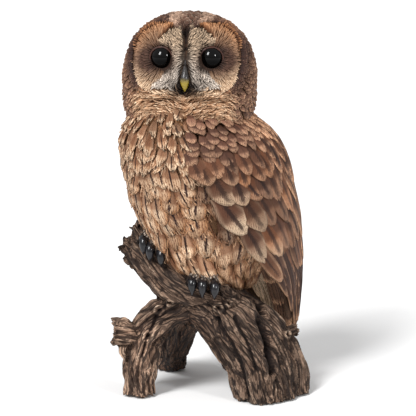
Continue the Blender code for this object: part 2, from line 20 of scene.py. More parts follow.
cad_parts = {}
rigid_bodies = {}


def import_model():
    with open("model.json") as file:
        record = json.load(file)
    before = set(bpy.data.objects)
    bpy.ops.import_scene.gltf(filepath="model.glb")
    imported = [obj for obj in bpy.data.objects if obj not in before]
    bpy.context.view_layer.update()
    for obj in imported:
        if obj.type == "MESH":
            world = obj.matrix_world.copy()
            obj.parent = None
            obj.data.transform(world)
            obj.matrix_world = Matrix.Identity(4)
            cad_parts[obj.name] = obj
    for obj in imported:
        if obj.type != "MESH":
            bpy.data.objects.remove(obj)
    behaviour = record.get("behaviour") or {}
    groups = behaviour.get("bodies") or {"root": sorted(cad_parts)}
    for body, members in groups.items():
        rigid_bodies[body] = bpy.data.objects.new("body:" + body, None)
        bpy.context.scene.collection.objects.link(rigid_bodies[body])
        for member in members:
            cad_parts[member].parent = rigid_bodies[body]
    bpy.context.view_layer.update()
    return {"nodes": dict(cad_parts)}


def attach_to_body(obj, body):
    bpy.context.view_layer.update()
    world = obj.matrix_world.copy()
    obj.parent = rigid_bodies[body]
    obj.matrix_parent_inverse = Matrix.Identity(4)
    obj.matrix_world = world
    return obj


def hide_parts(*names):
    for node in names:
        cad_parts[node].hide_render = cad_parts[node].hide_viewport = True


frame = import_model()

MM = 0.001
LOG = logging.getLogger("owl")
Colour = tuple[float, float, float]
Rows = Sequence[Sequence[float]]
Array = np.ndarray
Values = np.ndarray | float
Random = np.random.Generator
Mesh = bpy.types.Mesh
Material = bpy.types.Material
Socket = bpy.types.NodeSocket
Spread = Callable[[Array, Array, Array], Array]


class Paint(Enum):
    """The figure's paints, as linear red, green and blue."""

    UMBER = (0.150, 0.074, 0.048)
    PLUM = (0.052, 0.024, 0.018)
    SOOT = (0.012, 0.007, 0.005)
    RUFOUS = (0.330, 0.130, 0.050)
    CHESTNUT = (0.270, 0.118, 0.055)
    OCHRE = (0.430, 0.208, 0.096)
    BUFF = (0.540, 0.330, 0.190)
    TAN = (0.470, 0.278, 0.168)
    CREAM = (0.680, 0.500, 0.340)
    ASH = (0.270, 0.205, 0.155)
    PEARL = (0.620, 0.535, 0.455)
    ROSE = (0.480, 0.315, 0.225)
    OLIVE = (0.230, 0.122, 0.058)
    SLATE = (0.110, 0.060, 0.036)

    @property
    def rgb(self) -> Array:
        """The paint as an array."""
        return np.array(self.value)

    def __mul__(self, strength: float) -> Array:
        """The paint made darker or lighter."""
        return self.rgb * strength


def ease(value: Array, low: float, high: float) -> Array:
    """A smooth step.

    Args:
        value: what is stepped over.
        low: where the step starts, at 0.
        high: where it ends, at 1.

    Returns:
        3t^2 - 2t^3, with t the clamped share of the way from low to high.
    """
    t = np.clip((np.asarray(value, float) - low) / (high - low), 0, 1)
    return t * t * (3 - 2 * t)


def bump(value: Array, middle: float, width: float) -> Array:
    """A bell curve, e to the minus ((value - middle) / width) squared."""
    return np.exp(-(((value - middle) / width) ** 2))


def smooth(table: Rows, column: int, at: Values) -> Array:
    """Reads a column of a table on a cubic through its rows.

    Args:
        table: rows in rising order of their first number.
        column: which number of the row is read.
        at: values of the first number.

    Returns:
        The cubic Hermite curve whose slopes are those of the neighbouring rows.
    """
    x, y = np.array(table, float)[:, (0, column)].T
    slope = np.gradient(y, x)
    at = np.clip(np.asarray(at), x[0], x[-1])
    i = np.clip(np.searchsorted(x, at) - 1, 0, len(x) - 2)
    h = x[i + 1] - x[i]
    t = (at - x[i]) / h
    return (
        (2 * t**3 - 3 * t**2 + 1) * y[i]
        + (t**3 - 2 * t**2 + t) * h * slope[i]
        + (3 * t**2 - 2 * t**3) * y[i + 1]
        + (t**3 - t**2) * h * slope[i + 1]
    )


def blend(first: Array, second: Array, share: Array) -> Array:
    """Colours part of the way from the first to the second, row by row."""
    return first + (second - first) * np.asarray(share)[..., None]


def coated(colour: Array, coats: Sequence[tuple[Array, Array]]) -> Array:
    """Lays paints over a colour one after another, each as far as the share before it says."""
    for share, paint in coats:
        colour = blend(colour, paint, share)
    return colour


def circle(count: int) -> Array:
    """Even steps of angle all the way round."""
    return np.linspace(0, 2 * np.pi, count, endpoint=False)


HASH_PRIMES = np.array((73856093, 19349663, 83492791))
HASH_ODD = 1274126177
SEED_PRIME = 7919


def lattice_noise(points: Array, seed: int) -> Array:
    """Smooth noise in space.

    Args:
        points: places, with x, y and z last, one cell of the lattice to a unit.
        seed: another seed gives another noise.

    Returns:
        Values from 0 to 1: each lattice point has a hashed value, and the eight round a place
        are mixed by the eased distances to them.
    """
    cell = np.floor(points)
    t = points - cell
    t = t * t * (3 - 2 * t)
    cell = cell.astype(np.int64)
    total = np.zeros(points.shape[:-1])
    for corner in range(8):
        step = np.array((corner & 1, corner >> 1 & 1, corner >> 2 & 1))
        key = cell + step
        mixed = np.bitwise_xor.reduce(key * HASH_PRIMES, axis=-1) ^ seed * SEED_PRIME
        mixed = (mixed ^ mixed >> 13) * HASH_ODD & 0x7FFFFFFF
        weight = np.prod(np.where(step, t, 1 - t), axis=-1)
        total += weight * (mixed % 65536) / 65535
    return total


def unit(vectors: Array) -> Array:
    """Vectors of length 1 in the same directions."""
    return vectors / np.linalg.norm(vectors, axis=-1, keepdims=True)


def joined(*parts: Values) -> Array:
    """Puts arrays and single numbers side by side on a new last axis."""
    return np.stack(np.broadcast_arrays(*parts), axis=-1)


def down(lean: Array) -> Array:
    """Directions on a chart, across and up, at an angle from straight down."""
    return joined(np.sin(lean), -np.cos(lean))


def grid_of(rows: Array, across: Array) -> tuple[Array, Array]:
    """Every pair of a row and a place across, the rows one after another, across first."""
    second, first = np.meshgrid(rows, across, indexing="ij")
    return first.ravel(), second.ravel()


def waver(points: Array, seed: int) -> Array:
    """Two smooth noises from -0.5 to 0.5, side by side."""
    return np.stack([lattice_noise(points, seed + k) for k in range(2)], axis=-1) - 0.5


@dataclass(frozen=True)
class Stand:
    """A frame of its own: where it stands in its parent, in mm, and how far it is turned."""

    at: tuple[float, float, float]
    turn: float = 0.0
    parent: "Stand | None" = None

    def out(self, points: Array) -> Array:
        """Moves points out of this frame and its parents."""
        c, s = math.cos(self.turn), math.sin(self.turn)
        x, y, z = np.moveaxis(np.asarray(points, float), -1, 0)
        moved = joined(c * x - s * y, s * x + c * y, z) + self.at
        return self.parent.out(moved) if self.parent else moved

    def home(self, points: Array) -> Array:
        """Moves points of the world into this frame."""
        points = self.parent.home(points) if self.parent else np.asarray(points, float)
        c, s = math.cos(self.turn), math.sin(self.turn)
        x, y, z = np.moveaxis(points - self.at, -1, 0)
        return joined(c * x + s * y, c * y - s * x, z)


FIGURE = Stand((-1.8, -32.8, 0.0))
OWL = Stand((-31.5, -8.0, 0.0), math.radians(-45), FIGURE)
HEAD = Stand((-0.8, 18.2, 352.0), math.radians(41), OWL)


@dataclass(frozen=True)
class BodyForm:
    """The owl's body, cut level.

    Rows of outer and belly: height, how far the middle lies back, half-width and half-depth.
    Rows of tail: height, how far its upper side lies back, half-width and depth.
    """

    outer: Rows = (
        (40, 148, 22, 28), (60, 141, 30, 39), (78, 131, 36, 49), (101, 119, 45, 61), (131, 100, 56, 78),
        (158, 82, 67, 90), (185, 69, 76, 96), (213, 56, 82, 98), (240, 47, 84, 97), (268, 38, 83, 95),
        (290, 29, 78, 87), (303, 22, 71, 77), (314, 17, 62, 65), (324, 14, 53, 55),
    )
    belly: Rows = (
        (112, 84, 14, 22), (118, 80, 30, 38), (126, 74, 40, 48), (140, 67, 51, 62), (158, 66, 62, 77),
        (185, 67, 75, 93), (213, 56, 82, 98),
    )
    tail: Rows = (
        (56, 168, 20, 8), (75, 171, 25, 13), (101, 171, 29, 23), (131, 168, 31, 36), (158, 162, 31, 47),
        (182, 155, 29, 52),
    )
    wing_depth: float = 8.0
    back_depth: float = 4.0
    tail_vault: float = 0.009
    spare: float = 2.0

    def oval(self, turn: Array, height: Array, sizes: Sequence[Array]) -> Array:
        """A level oval: x is the half-width times the sine, y the middle less depth times cosine."""
        middle, wide, deep = sizes
        return joined(wide * np.sin(turn), middle - deep * np.cos(turn), height)

    def envelope(self, turn: Array, height: Array, lift: float = 0.0) -> Array:
        """The outer form with the folded wings, at an angle from the breast and a height."""
        middle, wide, deep = (smooth(self.outer, k, height) for k in (1, 2, 3))
        lift = lift - self.spare
        return self.oval(turn, height, (middle, wide + lift, deep + lift))

    def trunk(self, turn: Array, height: Array, lift: float = 0.0) -> Array:
        """The body under the wings.

        Args:
            turn: angle from the breast, in radians.
            height: height above the floor.
            lift: how far the form is moved outwards.

        Returns:
            Points of the outer form, let in where the wings and the back feathers cover it.
        """
        angle = np.degrees(np.abs(turn))
        inset = self.wing_depth * ease(angle, 32, 52)
        inset = inset - (self.wing_depth - self.back_depth) * ease(angle, 150, 172)
        low = height < self.belly[-1][0]
        middle, wide, deep = (
            np.where(low, smooth(self.belly, k, height), smooth(self.outer, k, height))
            for k in (1, 2, 3)
        )
        inset = lift - self.spare - np.minimum(inset, 0.25 * wide)
        return self.oval(turn, height, (middle, wide + inset, deep + inset))

    def tail_side(self, across: Array, up: Array, lift: Array, under: bool) -> Array:
        """The upper or the under side of the tail.

        Args:
            across: distance from its middle line.
            up: height above the floor.
            lift: distance out of the surface.
            under: the side that faces the feet.

        Returns:
            Points whose y falls with the square of the distance across, as a vault does.
        """
        y = smooth(self.tail, 1, up)
        if under:
            y = y - smooth(self.tail, 3, up) - 0.3 * self.tail_vault * across**2 - lift
            return joined(across, y, up - 0.35 * lift)
        y = y - self.tail_vault * across**2 + lift
        return joined(across, y, up + 0.35 * lift)


@dataclass(frozen=True)
class HeadForm:
    """The head from its centre, in mm, with two dished discs round the eyes."""

    half_width: float = 68.6
    front: float = 57.0
    back: float = 61.0
    top: float = 66.0
    bottom: float = 54.0
    square: float = 2.5
    crown_square: float = 2.15
    chin_square: float = 5.0
    eye_out: float = 24.8
    eye_up: float = 22.0
    disc_out: float = 30.0
    disc_in: float = 24.5
    disc_up: float = 35.0
    disc_down: float = 34.5
    disc_square: float = 2.3
    dish: float = 9.0
    rim: float = 2.6
    brow: float = 8.0
    brow_out: float = 9.0
    groove: float = 5.0
    eye_radius: float = 13.0
    eye_opening: float = 10.9
    eye_turn: float = math.radians(10)
    eye_sunk: float = 8.0
    guesses: int = 12
    least_deep: float = 4.0

    def share(self, x: Array, z: Array) -> Array:
        """How far a place is from the nearer eye, as a share of the disc's edge that way."""
        out = np.abs(x) - self.eye_out
        up = z - self.eye_up
        wide = np.where(out > 0, self.disc_out, self.disc_in)
        high = np.where(up > 0, self.disc_up, self.disc_down)
        p = self.disc_square
        return (np.abs(out / wide) ** p + np.abs(up / high) ** p) ** (1 / p)

    def surface(self, azimuth: Array, tilt: Array, lift: Values = 0.0) -> Array:
        """The head seen from its centre.

        Args:
            azimuth: angle from the beak to the bird's left, in radians.
            tilt: angle above the level.
            lift: distance out of the surface.

        Returns:
            Points of a superellipsoid with a dish, a rim and a moat round each eye, and two
            raised bands on either side of a groove between them.
        """
        dx = np.sin(azimuth) * np.cos(tilt)
        dy = -np.cos(azimuth) * np.cos(tilt)
        dz = np.sin(tilt)
        deep = np.where(dy < 0, self.front, self.back)
        level = np.abs(dx / self.half_width) ** self.square + np.abs(dy / deep) ** self.square
        level = level ** (1 / self.square)
        rise = np.abs(dz) / np.where(dz > 0, self.top, self.bottom)
        power = np.where(dz > 0, self.crown_square, self.chin_square)
        radius = (level**power + rise**power) ** (-1 / power)
        x, z = np.abs(radius * dx), radius * dz
        share = self.share(x, z)
        dish = -self.dish * (1 - np.clip(share, 0, 1) ** 2)
        rim = self.rim * (bump(share, 1.03, 0.13) - 0.7 * bump(share, 1.32, 0.12))
        brow = self.brow * bump(x, self.brow_out, 8.0) * ease(z, -30, 0)
        groove = -self.groove * bump(x, 0, 1.6) * ease(z, 14, 24)
        middle = (brow + groove) * (1 - ease(z, 42, 58))
        radius = radius + ease(-dy, 0.05, 0.35) * (dish + rim + middle) + lift
        return joined(radius * dx, radius * dy, radius * dz)

    def toward(self, points: Array, lift: Values = 0.0) -> Array:
        """The surface in the direction of points from the head's centre."""
        x, y, z = np.moveaxis(unit(points), -1, 0)
        return self.surface(np.arctan2(x, -y), np.arcsin(np.clip(z, -1, 1)), lift)

    def face(self, x: Array, z: Array) -> Array:
        """Points of the face at these distances out from the middle and up from the centre.

        The depth is guessed, and then taken again and again from the surface that way.
        """
        y = np.full(np.shape(x), -self.front)
        for _ in range(self.guesses):
            radius = np.linalg.norm(self.toward(joined(x, y, z)), axis=-1)
            y = -np.sqrt(np.maximum(radius**2 - x**2 - z**2, self.least_deep**2))
        return self.toward(joined(x, y, z))

    def normals(self, points: Array) -> Array:
        """Outward normals, from the surface half a millimetre away on two sides."""
        out = unit(points)
        side = unit(np.cross((0, 0, 1.0), out) + (1e-4, 0, 0))
        up = np.cross(out, side)
        across = self.toward(points + 0.5 * side) - self.toward(points - 0.5 * side)
        along = self.toward(points + 0.5 * up) - self.toward(points - 0.5 * up)
        return unit(np.cross(across, along))

    def eye_centre(self, side: int) -> Array:
        """The middle of an eye. side is 1 for the bird's left."""
        azimuth = math.atan2(self.eye_out, self.front - 12.0)
        on_face = self.surface(np.array(azimuth), np.array(math.atan2(self.eye_up, self.front)))
        return np.array((side * self.eye_out, on_face[1] + self.eye_sunk, self.eye_up))


BODY = BodyForm()
SKULL = HeadForm()
CHART_RADIUS = 88.0
# What 1 mm is in the Barbs map, a feather's size in the OFBake map, and the half-width of a
# streak that isn't drawn.
BARB_MM = 0.01
PATCH = 0.003
NO_STREAK = 0.2


def wing_edge(height: Values, which: int) -> Array:
    """Angle from the breast, in degrees, of a folded wing's front edge, 1, or rear edge, 2."""
    rows = (
        (62, 110, 138), (78, 99, 150), (101, 95, 162), (131, 87, 171), (158, 75, 173), (185, 63, 171),
        (213, 54, 167), (240, 46, 162), (268, 44, 157), (292, 52, 150), (303, 62, 142),
    )
    return smooth(rows, which, height)


@dataclass(frozen=True)
class Chart:
    """A surface that feathers are laid on, unrolled to millimetres across and up."""

    form: Callable[[Array, Array], Array]
    handed: float = 1.0

    def spread(self, roots: Array, lean: Array) -> Spread:
        """Lays feathers with their roots at places of the chart.

        Args:
            roots: across and up, one row a feather.
            lean: angle of each from straight down, towards +across, in radians.

        Returns:
            A function of distance across and along the feather and out of the surface. A
            point is the surface at the turned and moved place, plus the lift times the normal.
        """
        sin, cos = np.sin(lean)[:, None, None], np.cos(lean)[:, None, None]
        a0, b0 = roots[:, 0, None, None], roots[:, 1, None, None]

        def place(x: Array, y: Array, lift: Array) -> Array:
            """Points in the world for distances over the feather."""
            a, b = a0 + x * cos + y * sin, b0 + x * sin - y * cos
            across = self.form(a + 0.5, b) - self.form(a - 0.5, b)
            up = self.form(a, b + 0.5) - self.form(a, b - 0.5)
            normal = self.handed * unit(np.cross(across, up))
            return self.form(a, b) + lift[..., None] * normal

        return place


def body_chart() -> Chart:
    """Breast, belly, flanks and back."""
    return Chart(lambda a, b: OWL.out(BODY.trunk(a / CHART_RADIUS, b)))


def wing_chart(side: int) -> Chart:
    """A folded wing. side is 1 for the bird's left."""
    return Chart(lambda a, b: OWL.out(BODY.envelope(side * a / CHART_RADIUS, b, -1.4)), side)


def tail_chart(under: bool) -> Chart:
    """One side of the tail."""
    return Chart(lambda a, b: OWL.out(BODY.tail_side(a, b, 0 * a, under)), 1 if under else -1)


def laid_flat(ways: Array, normals: Array) -> tuple[Array, Array]:
    """Directions laid flat on a surface, then those square to them, one row a feather's grid."""
    ways = unit(ways - normals * np.sum(ways * normals, axis=-1, keepdims=True))
    return ways[:, None, None], np.cross(normals, ways)[:, None, None]


def head_spread(roots: Array, ways: Array) -> Spread:
    """Lays feathers on the head.

    Args:
        roots: places on the head's surface, in its frame.
        ways: the direction each feather points, which is laid flat on the surface.

    Returns:
        A function of distance across and along the feather and out of the surface. A point
        steps off in the tangent plane and is drawn back to the surface from the centre.
    """
    ways, side = laid_flat(ways, SKULL.normals(roots))

    def place(x: Array, y: Array, lift: Array) -> Array:
        """Points in the world for distances over the feather."""
        flat = roots[:, None, None] + x[..., None] * side + y[..., None] * ways
        return HEAD.out(SKULL.toward(flat, lift))

    return place


def patch_spread(roots: Array, normals: Array, ways: Array, bend: float) -> Spread:
    """Lays feathers on any surface, on a circle that bends down with it.

    Args:
        roots: places in the world.
        normals: the surface's outward normals there.
        ways: the direction each feather points.
        bend: the circle's radius.

    Returns:
        A function of distance across and along the feather and out of the surface.
    """
    ways, side = laid_flat(ways, normals)

    def place(x: Array, y: Array, lift: Array) -> Array:
        """Points in the world for distances over the feather."""
        drop = lift - (x**2 + y**2) / (2 * bend)
        parts = ((x, side), (y, ways), (drop, normals[:, None, None]))
        return roots[:, None, None] + sum(k[..., None] * v for k, v in parts)

    return place


@dataclass(frozen=True)
class Cut:
    """How a kind of feather is cut: its grid, its outline as shares, and its relief in mm."""

    stations: int = 9
    across: int = 7
    root: float = 0.6
    widest: float = 0.55
    point: float = 2.0
    camber: float = 0.8
    ridge: float = 0.25
    thick: float = 1.0
    sunk: float = 1.6
    proud: float = 1.8
    notch: float = 0.0
    strands: float = 0.0
    strand_depth: float = 0.3
    sway: float = 0.03

    def outline(self, t: Array) -> Array:
        """Share of the half-width at a share of the length: swells, then rounds to the tip."""
        swell = self.root + (1 - self.root) * ease(t, 0, self.widest)
        left = np.clip((t - self.widest) / (1 - self.widest), 0, 1)
        return swell * np.sqrt(np.maximum(1 - left**self.point, 0)) + 0.04


def quad_grid(count: int, stations: int, around: int) -> Array:
    """Quads of closed rings of points.

    Args:
        count: how many feathers.
        stations: rings in each.
        around: points in a ring.

    Returns:
        Corner indices that join each ring to the next, all the way round.
    """
    start = np.arange(count)[:, None, None] * stations * around
    i = np.arange(stations - 1)[None, :, None] * around
    j = np.arange(around)[None, None, :]
    after = (j + 1) % around
    quads = joined(i + j, i + around + j, i + around + after, i + after)
    return (start[..., None] + quads).reshape(-1, 4)


def make_mesh(name: str, points: Array, faces: Sequence[Array]) -> Mesh:
    """A mesh from arrays.

    Args:
        name: the mesh's name.
        points: places in mm.
        faces: arrays of corner indices, one array for each number of corners.

    Returns:
        The mesh, smooth, in metres.
    """
    mesh = bpy.data.meshes.new(name)
    corners = np.concatenate([f.ravel() for f in faces])
    sizes = np.concatenate([np.full(len(f), f.shape[1]) for f in faces])
    mesh.vertices.add(len(points))
    mesh.vertices.foreach_set("co", (points * MM).astype(np.float32).ravel())
    mesh.loops.add(len(corners))
    mesh.loops.foreach_set("vertex_index", corners.astype(np.int32))
    mesh.polygons.add(len(sizes))
    starts = np.concatenate(([0], np.cumsum(sizes)[:-1]))
    mesh.polygons.foreach_set("loop_start", starts.astype(np.int32))
    mesh.polygons.foreach_set("use_smooth", np.ones(len(sizes), bool))
    mesh.update(calc_edges=True)
    return mesh


def set_map(mesh: Mesh, name: str, values: Array) -> None:
    """Writes a row of numbers for each vertex.

    Args:
        mesh: what they are written to.
        name: the name of the UV map or attribute. paint and edge are colours.
        values: pairs for a UV map, or rows of three for an attribute.
    """
    if values.shape[1] == 2:
        corners = np.empty(len(mesh.loops), np.int32)
        mesh.loops.foreach_get("vertex_index", corners)
        layer, key, values = mesh.uv_layers.new(name=name), "uv", values[corners]
    elif name in ("paint", "edge"):
        layer, key = mesh.attributes.new(name, "FLOAT_COLOR", "POINT"), "color"
        values = np.column_stack((values, np.ones(len(values))))
    else:
        layer, key = mesh.attributes.new(name, "FLOAT_VECTOR", "POINT"), "vector"
    layer.data.foreach_set(key, values.astype(np.float32).ravel())


def make_object(data: bpy.types.ID) -> bpy.types.Object:
    """Links a mesh, a lamp or a camera into the scene as an object at the origin."""
    made = bpy.data.objects.new(data.name, data)
    bpy.context.scene.collection.objects.link(made)
    return made


def attach(mesh: Mesh, finish: Material, nodes: Sequence[str] = ()) -> None:
    """Makes a mesh a piece of the figure.

    Args:
        mesh: its shape.
        finish: its material.
        nodes: the record's nodes that it replaces.
    """
    mesh.materials.append(finish)
    piece = make_object(mesh)
    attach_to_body(piece, "root")
    if nodes:
        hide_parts(*nodes)
    LOG.info("%s: %d faces", piece.name, len(mesh.polygons))


@dataclass(frozen=True)
class Batch:
    """Sizes and paints of many feathers, one row of each array a feather.

    mark holds the dark streak's half-width in mm, its strength, and a tone. cover holds the
    share of the length where the row above leaves off, and how pale the sides and the tip
    are. patch is the root's place on the unwrapped skin, from 0 to 1.
    """

    length: Array
    half: Array
    paint: Array
    edge: Array
    mark: Array
    cover: Array
    patch: Array

    def only(self, keep: Array) -> "Batch":
        """The feathers for which keep is true."""
        return Batch(*(getattr(self, part.name)[keep] for part in fields(self)))


@dataclass
class Shells:
    """Closed forms while they are gathered into one mesh."""

    points: list[Array] = field(default_factory=list)
    faces: dict[int, list[Array]] = field(default_factory=dict)

    def gather(self, points: Array, faces: Sequence[Array]) -> None:
        """Adds a form's points, and its faces with their corners counted on from what is there."""
        total = sum(map(len, self.points))
        for part in faces:
            self.faces.setdefault(part.shape[1], []).append(part + total)
        self.points.append(points.reshape(-1, 3))

    def mesh(self, name: str) -> Mesh:
        """All forms as one mesh."""
        faces = [np.concatenate(parts) for parts in self.faces.values()]
        return make_mesh(name, np.concatenate(self.points), faces)


@dataclass
class Coat(Shells):
    """The feathers of one piece while they are put together, and its random numbers."""

    name: str = ""
    draw: Random | None = None
    maps: dict[str, list[Array]] = field(default_factory=dict)

    def keep(self, name: str, values: Array) -> None:
        """Adds rows to one of the maps or attributes."""
        self.maps.setdefault(name, []).append(values.reshape(-1, values.shape[-1]))

    def add(self, cut: Cut, spread: Spread, batch: Batch, handed: float = 1.0) -> None:
        """Adds feathers of one cut.

        Across a feather the top is a dome with a ridge on its shaft and furrows between its
        strands, and the underside is a flat a little below. Along it the root dips under the
        surface, the tip stands proud, and the whole blade sways a little to one side.

        Args:
            cut: their outline and relief.
            spread: lays them on their surface.
            batch: their sizes and paints.
            handed: -1 on a mirrored surface.
        """
        draw, count, ring = self.draw, len(batch.length), cut.across + 2
        t = 1 - (1 - np.linspace(0, 1, cut.stations)) ** 1.5
        s = np.concatenate((np.linspace(-1, 1, cut.across), (0.55, -0.55)))
        on_top = np.arange(ring) < cut.across
        shape = (count, cut.stations, ring)
        tt = np.broadcast_to(t[None, :, None], shape)
        ss = np.broadcast_to(s[None, None, :], shape)
        wide = cut.outline(tt)
        length = batch.length[:, None, None]
        x = batch.half[:, None, None] * wide * ss
        torn = draw.uniform(0, 1, (count, 1, ring)) * np.where(on_top, 1, 0.5)
        y = length * (tt - cut.notch * torn * ease(tt, 0.55, 1))
        each = draw.normal(0, 1, (2, count, 1, 1))
        proud = cut.proud * np.clip(1 + 0.25 * each[0], 0.5, 1.6)
        rise = proud * ease(tt, 0.1, 1) - cut.sunk * (1 - ease(tt, 0, 0.45))
        dome = cut.camber * (1 - ss**2) * wide + cut.ridge * bump(ss, 0, 0.16)
        if cut.strands:
            phase = draw.uniform(0, 2 * np.pi, (count, 1, 1))
            furrow = np.sin(np.pi * cut.strands * ss + phase) * ease(tt, 0.1, 0.5)
            dome = dome + cut.strand_depth * furrow
        lift = rise + np.where(on_top, dome, -cut.thick)
        points = spread(x + cut.sway * each[1] * length * tt**2, y, lift)
        first = np.arange(count)[:, None] * cut.stations * ring + np.arange(ring)
        last = first + (cut.stations - 1) * ring
        faces = (quad_grid(count, cut.stations, ring), np.concatenate((first, last[:, ::-1])))
        self.gather(points, [part[:, ::-1] for part in faces] if handed < 0 else faces)
        self.keep("Feather", joined(0.5 + 0.5 * ss, tt))
        self.keep("Barbs", joined(x, y) * BARB_MM)
        local = joined(ss * 0.5, tt - 0.5) * PATCH
        self.keep("OFBake", batch.patch[:, None, None] + local)
        for name in ("paint", "edge", "mark", "cover"):
            self.keep(name, np.repeat(getattr(batch, name), cut.stations * ring, axis=0))

    def make(self, finish: Material, slot: str) -> None:
        """Turns the feathers into one piece with its maps and attributes."""
        mesh = self.mesh(self.name)
        for name, rows in self.maps.items():
            set_map(mesh, name, np.concatenate(rows))
        attach(mesh, finish)


class Flow:
    """A value that varies over a surface. Its operators add Math nodes."""

    def __init__(self, recipe: "Recipe", socket: Socket) -> None:
        """Wraps an output socket of a recipe's node."""
        self.recipe = recipe
        self.socket = socket

    def math(self, operation: str, *others: Any) -> "Flow":
        """A Math node on this value and others."""
        values = dict(enumerate((self, *others)))
        return self.recipe.flow("ShaderNodeMath", {"operation": operation}, values)

    def __add__(self, other: Any) -> "Flow":
        """Sum."""
        return self.math("ADD", other)

    __radd__ = __add__

    def __mul__(self, other: Any) -> "Flow":
        """Product."""
        return self.math("MULTIPLY", other)

    __rmul__ = __mul__

    def __sub__(self, other: Any) -> "Flow":
        """Difference."""
        return self.math("SUBTRACT", other)

    def __rsub__(self, other: float) -> "Flow":
        """A number less this value."""
        return (self * -1.0) + other

    def __abs__(self) -> "Flow":
        """Distance from nought."""
        return self.math("ABSOLUTE")

    def step(self, low: float, high: float) -> "Flow":
        """A smooth step from 0 at low to 1 at high."""
        values = {"Value": self, "From Min": low, "From Max": high}
        return self.recipe.flow("ShaderNodeMapRange", {"interpolation_type": "SMOOTHSTEP"}, values)


class Recipe:
    """The node tree of one finish."""

    def __init__(self, name: str) -> None:
        """Starts a material that has only its output and its shader."""
        self.material = bpy.data.materials.new(name)
        self.material.use_nodes = True
        self.tree = self.material.node_tree
        self.shader = self.tree.nodes["Principled BSDF"]

    def node(self, kind: str, settings: dict[str, Any], values: dict[Any, Any]) -> bpy.types.Node:
        """Adds a node.

        Args:
            kind: the node's type.
            settings: properties that are set first.
            values: numbers, colours or flows for its sockets, by name or index.

        Returns:
            The node.
        """
        made = self.tree.nodes.new(kind)
        for key, value in settings.items():
            setattr(made, key, value)
        for key, value in values.items():
            self.feed(made.inputs[key], value)
        return made

    def flow(self, kind: str, settings: dict[str, Any], values: dict[Any, Any]) -> Flow:
        """The first output of a new node, as a value."""
        return Flow(self, self.node(kind, settings, values).outputs[0])

    def feed(self, socket: Socket, value: Any) -> None:
        """Links or sets a socket."""
        if isinstance(value, Flow):
            self.tree.links.new(value.socket, socket)
        elif isinstance(value, Socket):
            self.tree.links.new(value, socket)
        elif socket.type == "RGBA" and len(value) == 3:
            socket.default_value = (*value, 1)
        else:
            socket.default_value = value

    def attribute(self, name: str, what: str = "Vector") -> Socket:
        """Reads a vector or a colour of the mesh."""
        return self.node("ShaderNodeAttribute", {"attribute_name": name}, {}).outputs[what]

    def uv(self, name: str) -> list[Flow]:
        """Both numbers of a UV map."""
        return self.parts(self.node("ShaderNodeUVMap", {"uv_map": name}, {}).outputs[0])[:2]

    def parts(self, vector: Socket) -> list[Flow]:
        """The three numbers of a vector."""
        node = self.node("ShaderNodeSeparateXYZ", {}, {0: vector})
        return [Flow(self, out) for out in node.outputs]

    def place(self) -> Socket:
        """Where a point is on the object, in metres."""
        return self.node("ShaderNodeTexCoord", {}, {}).outputs["Object"]

    def height(self) -> Flow:
        """Height of a point on the object, in mm."""
        return self.parts(self.place())[2] * (1 / MM)

    def noise(self, scale: float, detail: float, vector: Any = None, rough: float = 0.5) -> Flow:
        """Noise from 0 to 1, on the object or on another vector."""
        values = {"Vector": vector or self.place(), "Scale": scale, "Detail": detail, "Roughness": rough}
        return self.flow("ShaderNodeTexNoise", {}, values)

    def mix(self, share: Any, first: Any, second: Any, how: str = "MIX") -> Socket:
        """Mixes two colours by a share."""
        settings = {"data_type": "RGBA", "blend_type": how}
        return self.node("ShaderNodeMix", settings, {0: share, 6: first, 7: second}).outputs[2]

    def layers(self, colour: Any, coats: Sequence[tuple[Any, Any]]) -> Any:
        """Lays coats of a share and a paint over a colour, one after another."""
        for share, paint in coats:
            colour = self.mix(share, colour, paint)
        return colour

    def lit(self, colour: Any, light: Flow) -> Socket:
        """A colour times a brightness."""
        shade = self.node("ShaderNodeCombineXYZ", {}, {0: light, 1: light, 2: light}).outputs[0]
        return self.mix(1.0, colour, shade, "MULTIPLY")

    def bump(self, height: Flow, depth: float) -> None:
        """Feeds the shader's normal from a height whose 1 stands for a depth in mm."""
        values = {"Height": height, "Distance": depth * MM, "Strength": 1.0}
        self.set(Normal=self.flow("ShaderNodeBump", {}, values))

    def set(self, **values: Any) -> Material:
        """Feeds the shader's sockets, with underscores for the spaces in their names."""
        for key, value in values.items():
            self.feed(self.shader.inputs[key.replace("_", " ")], value)
        return self.material


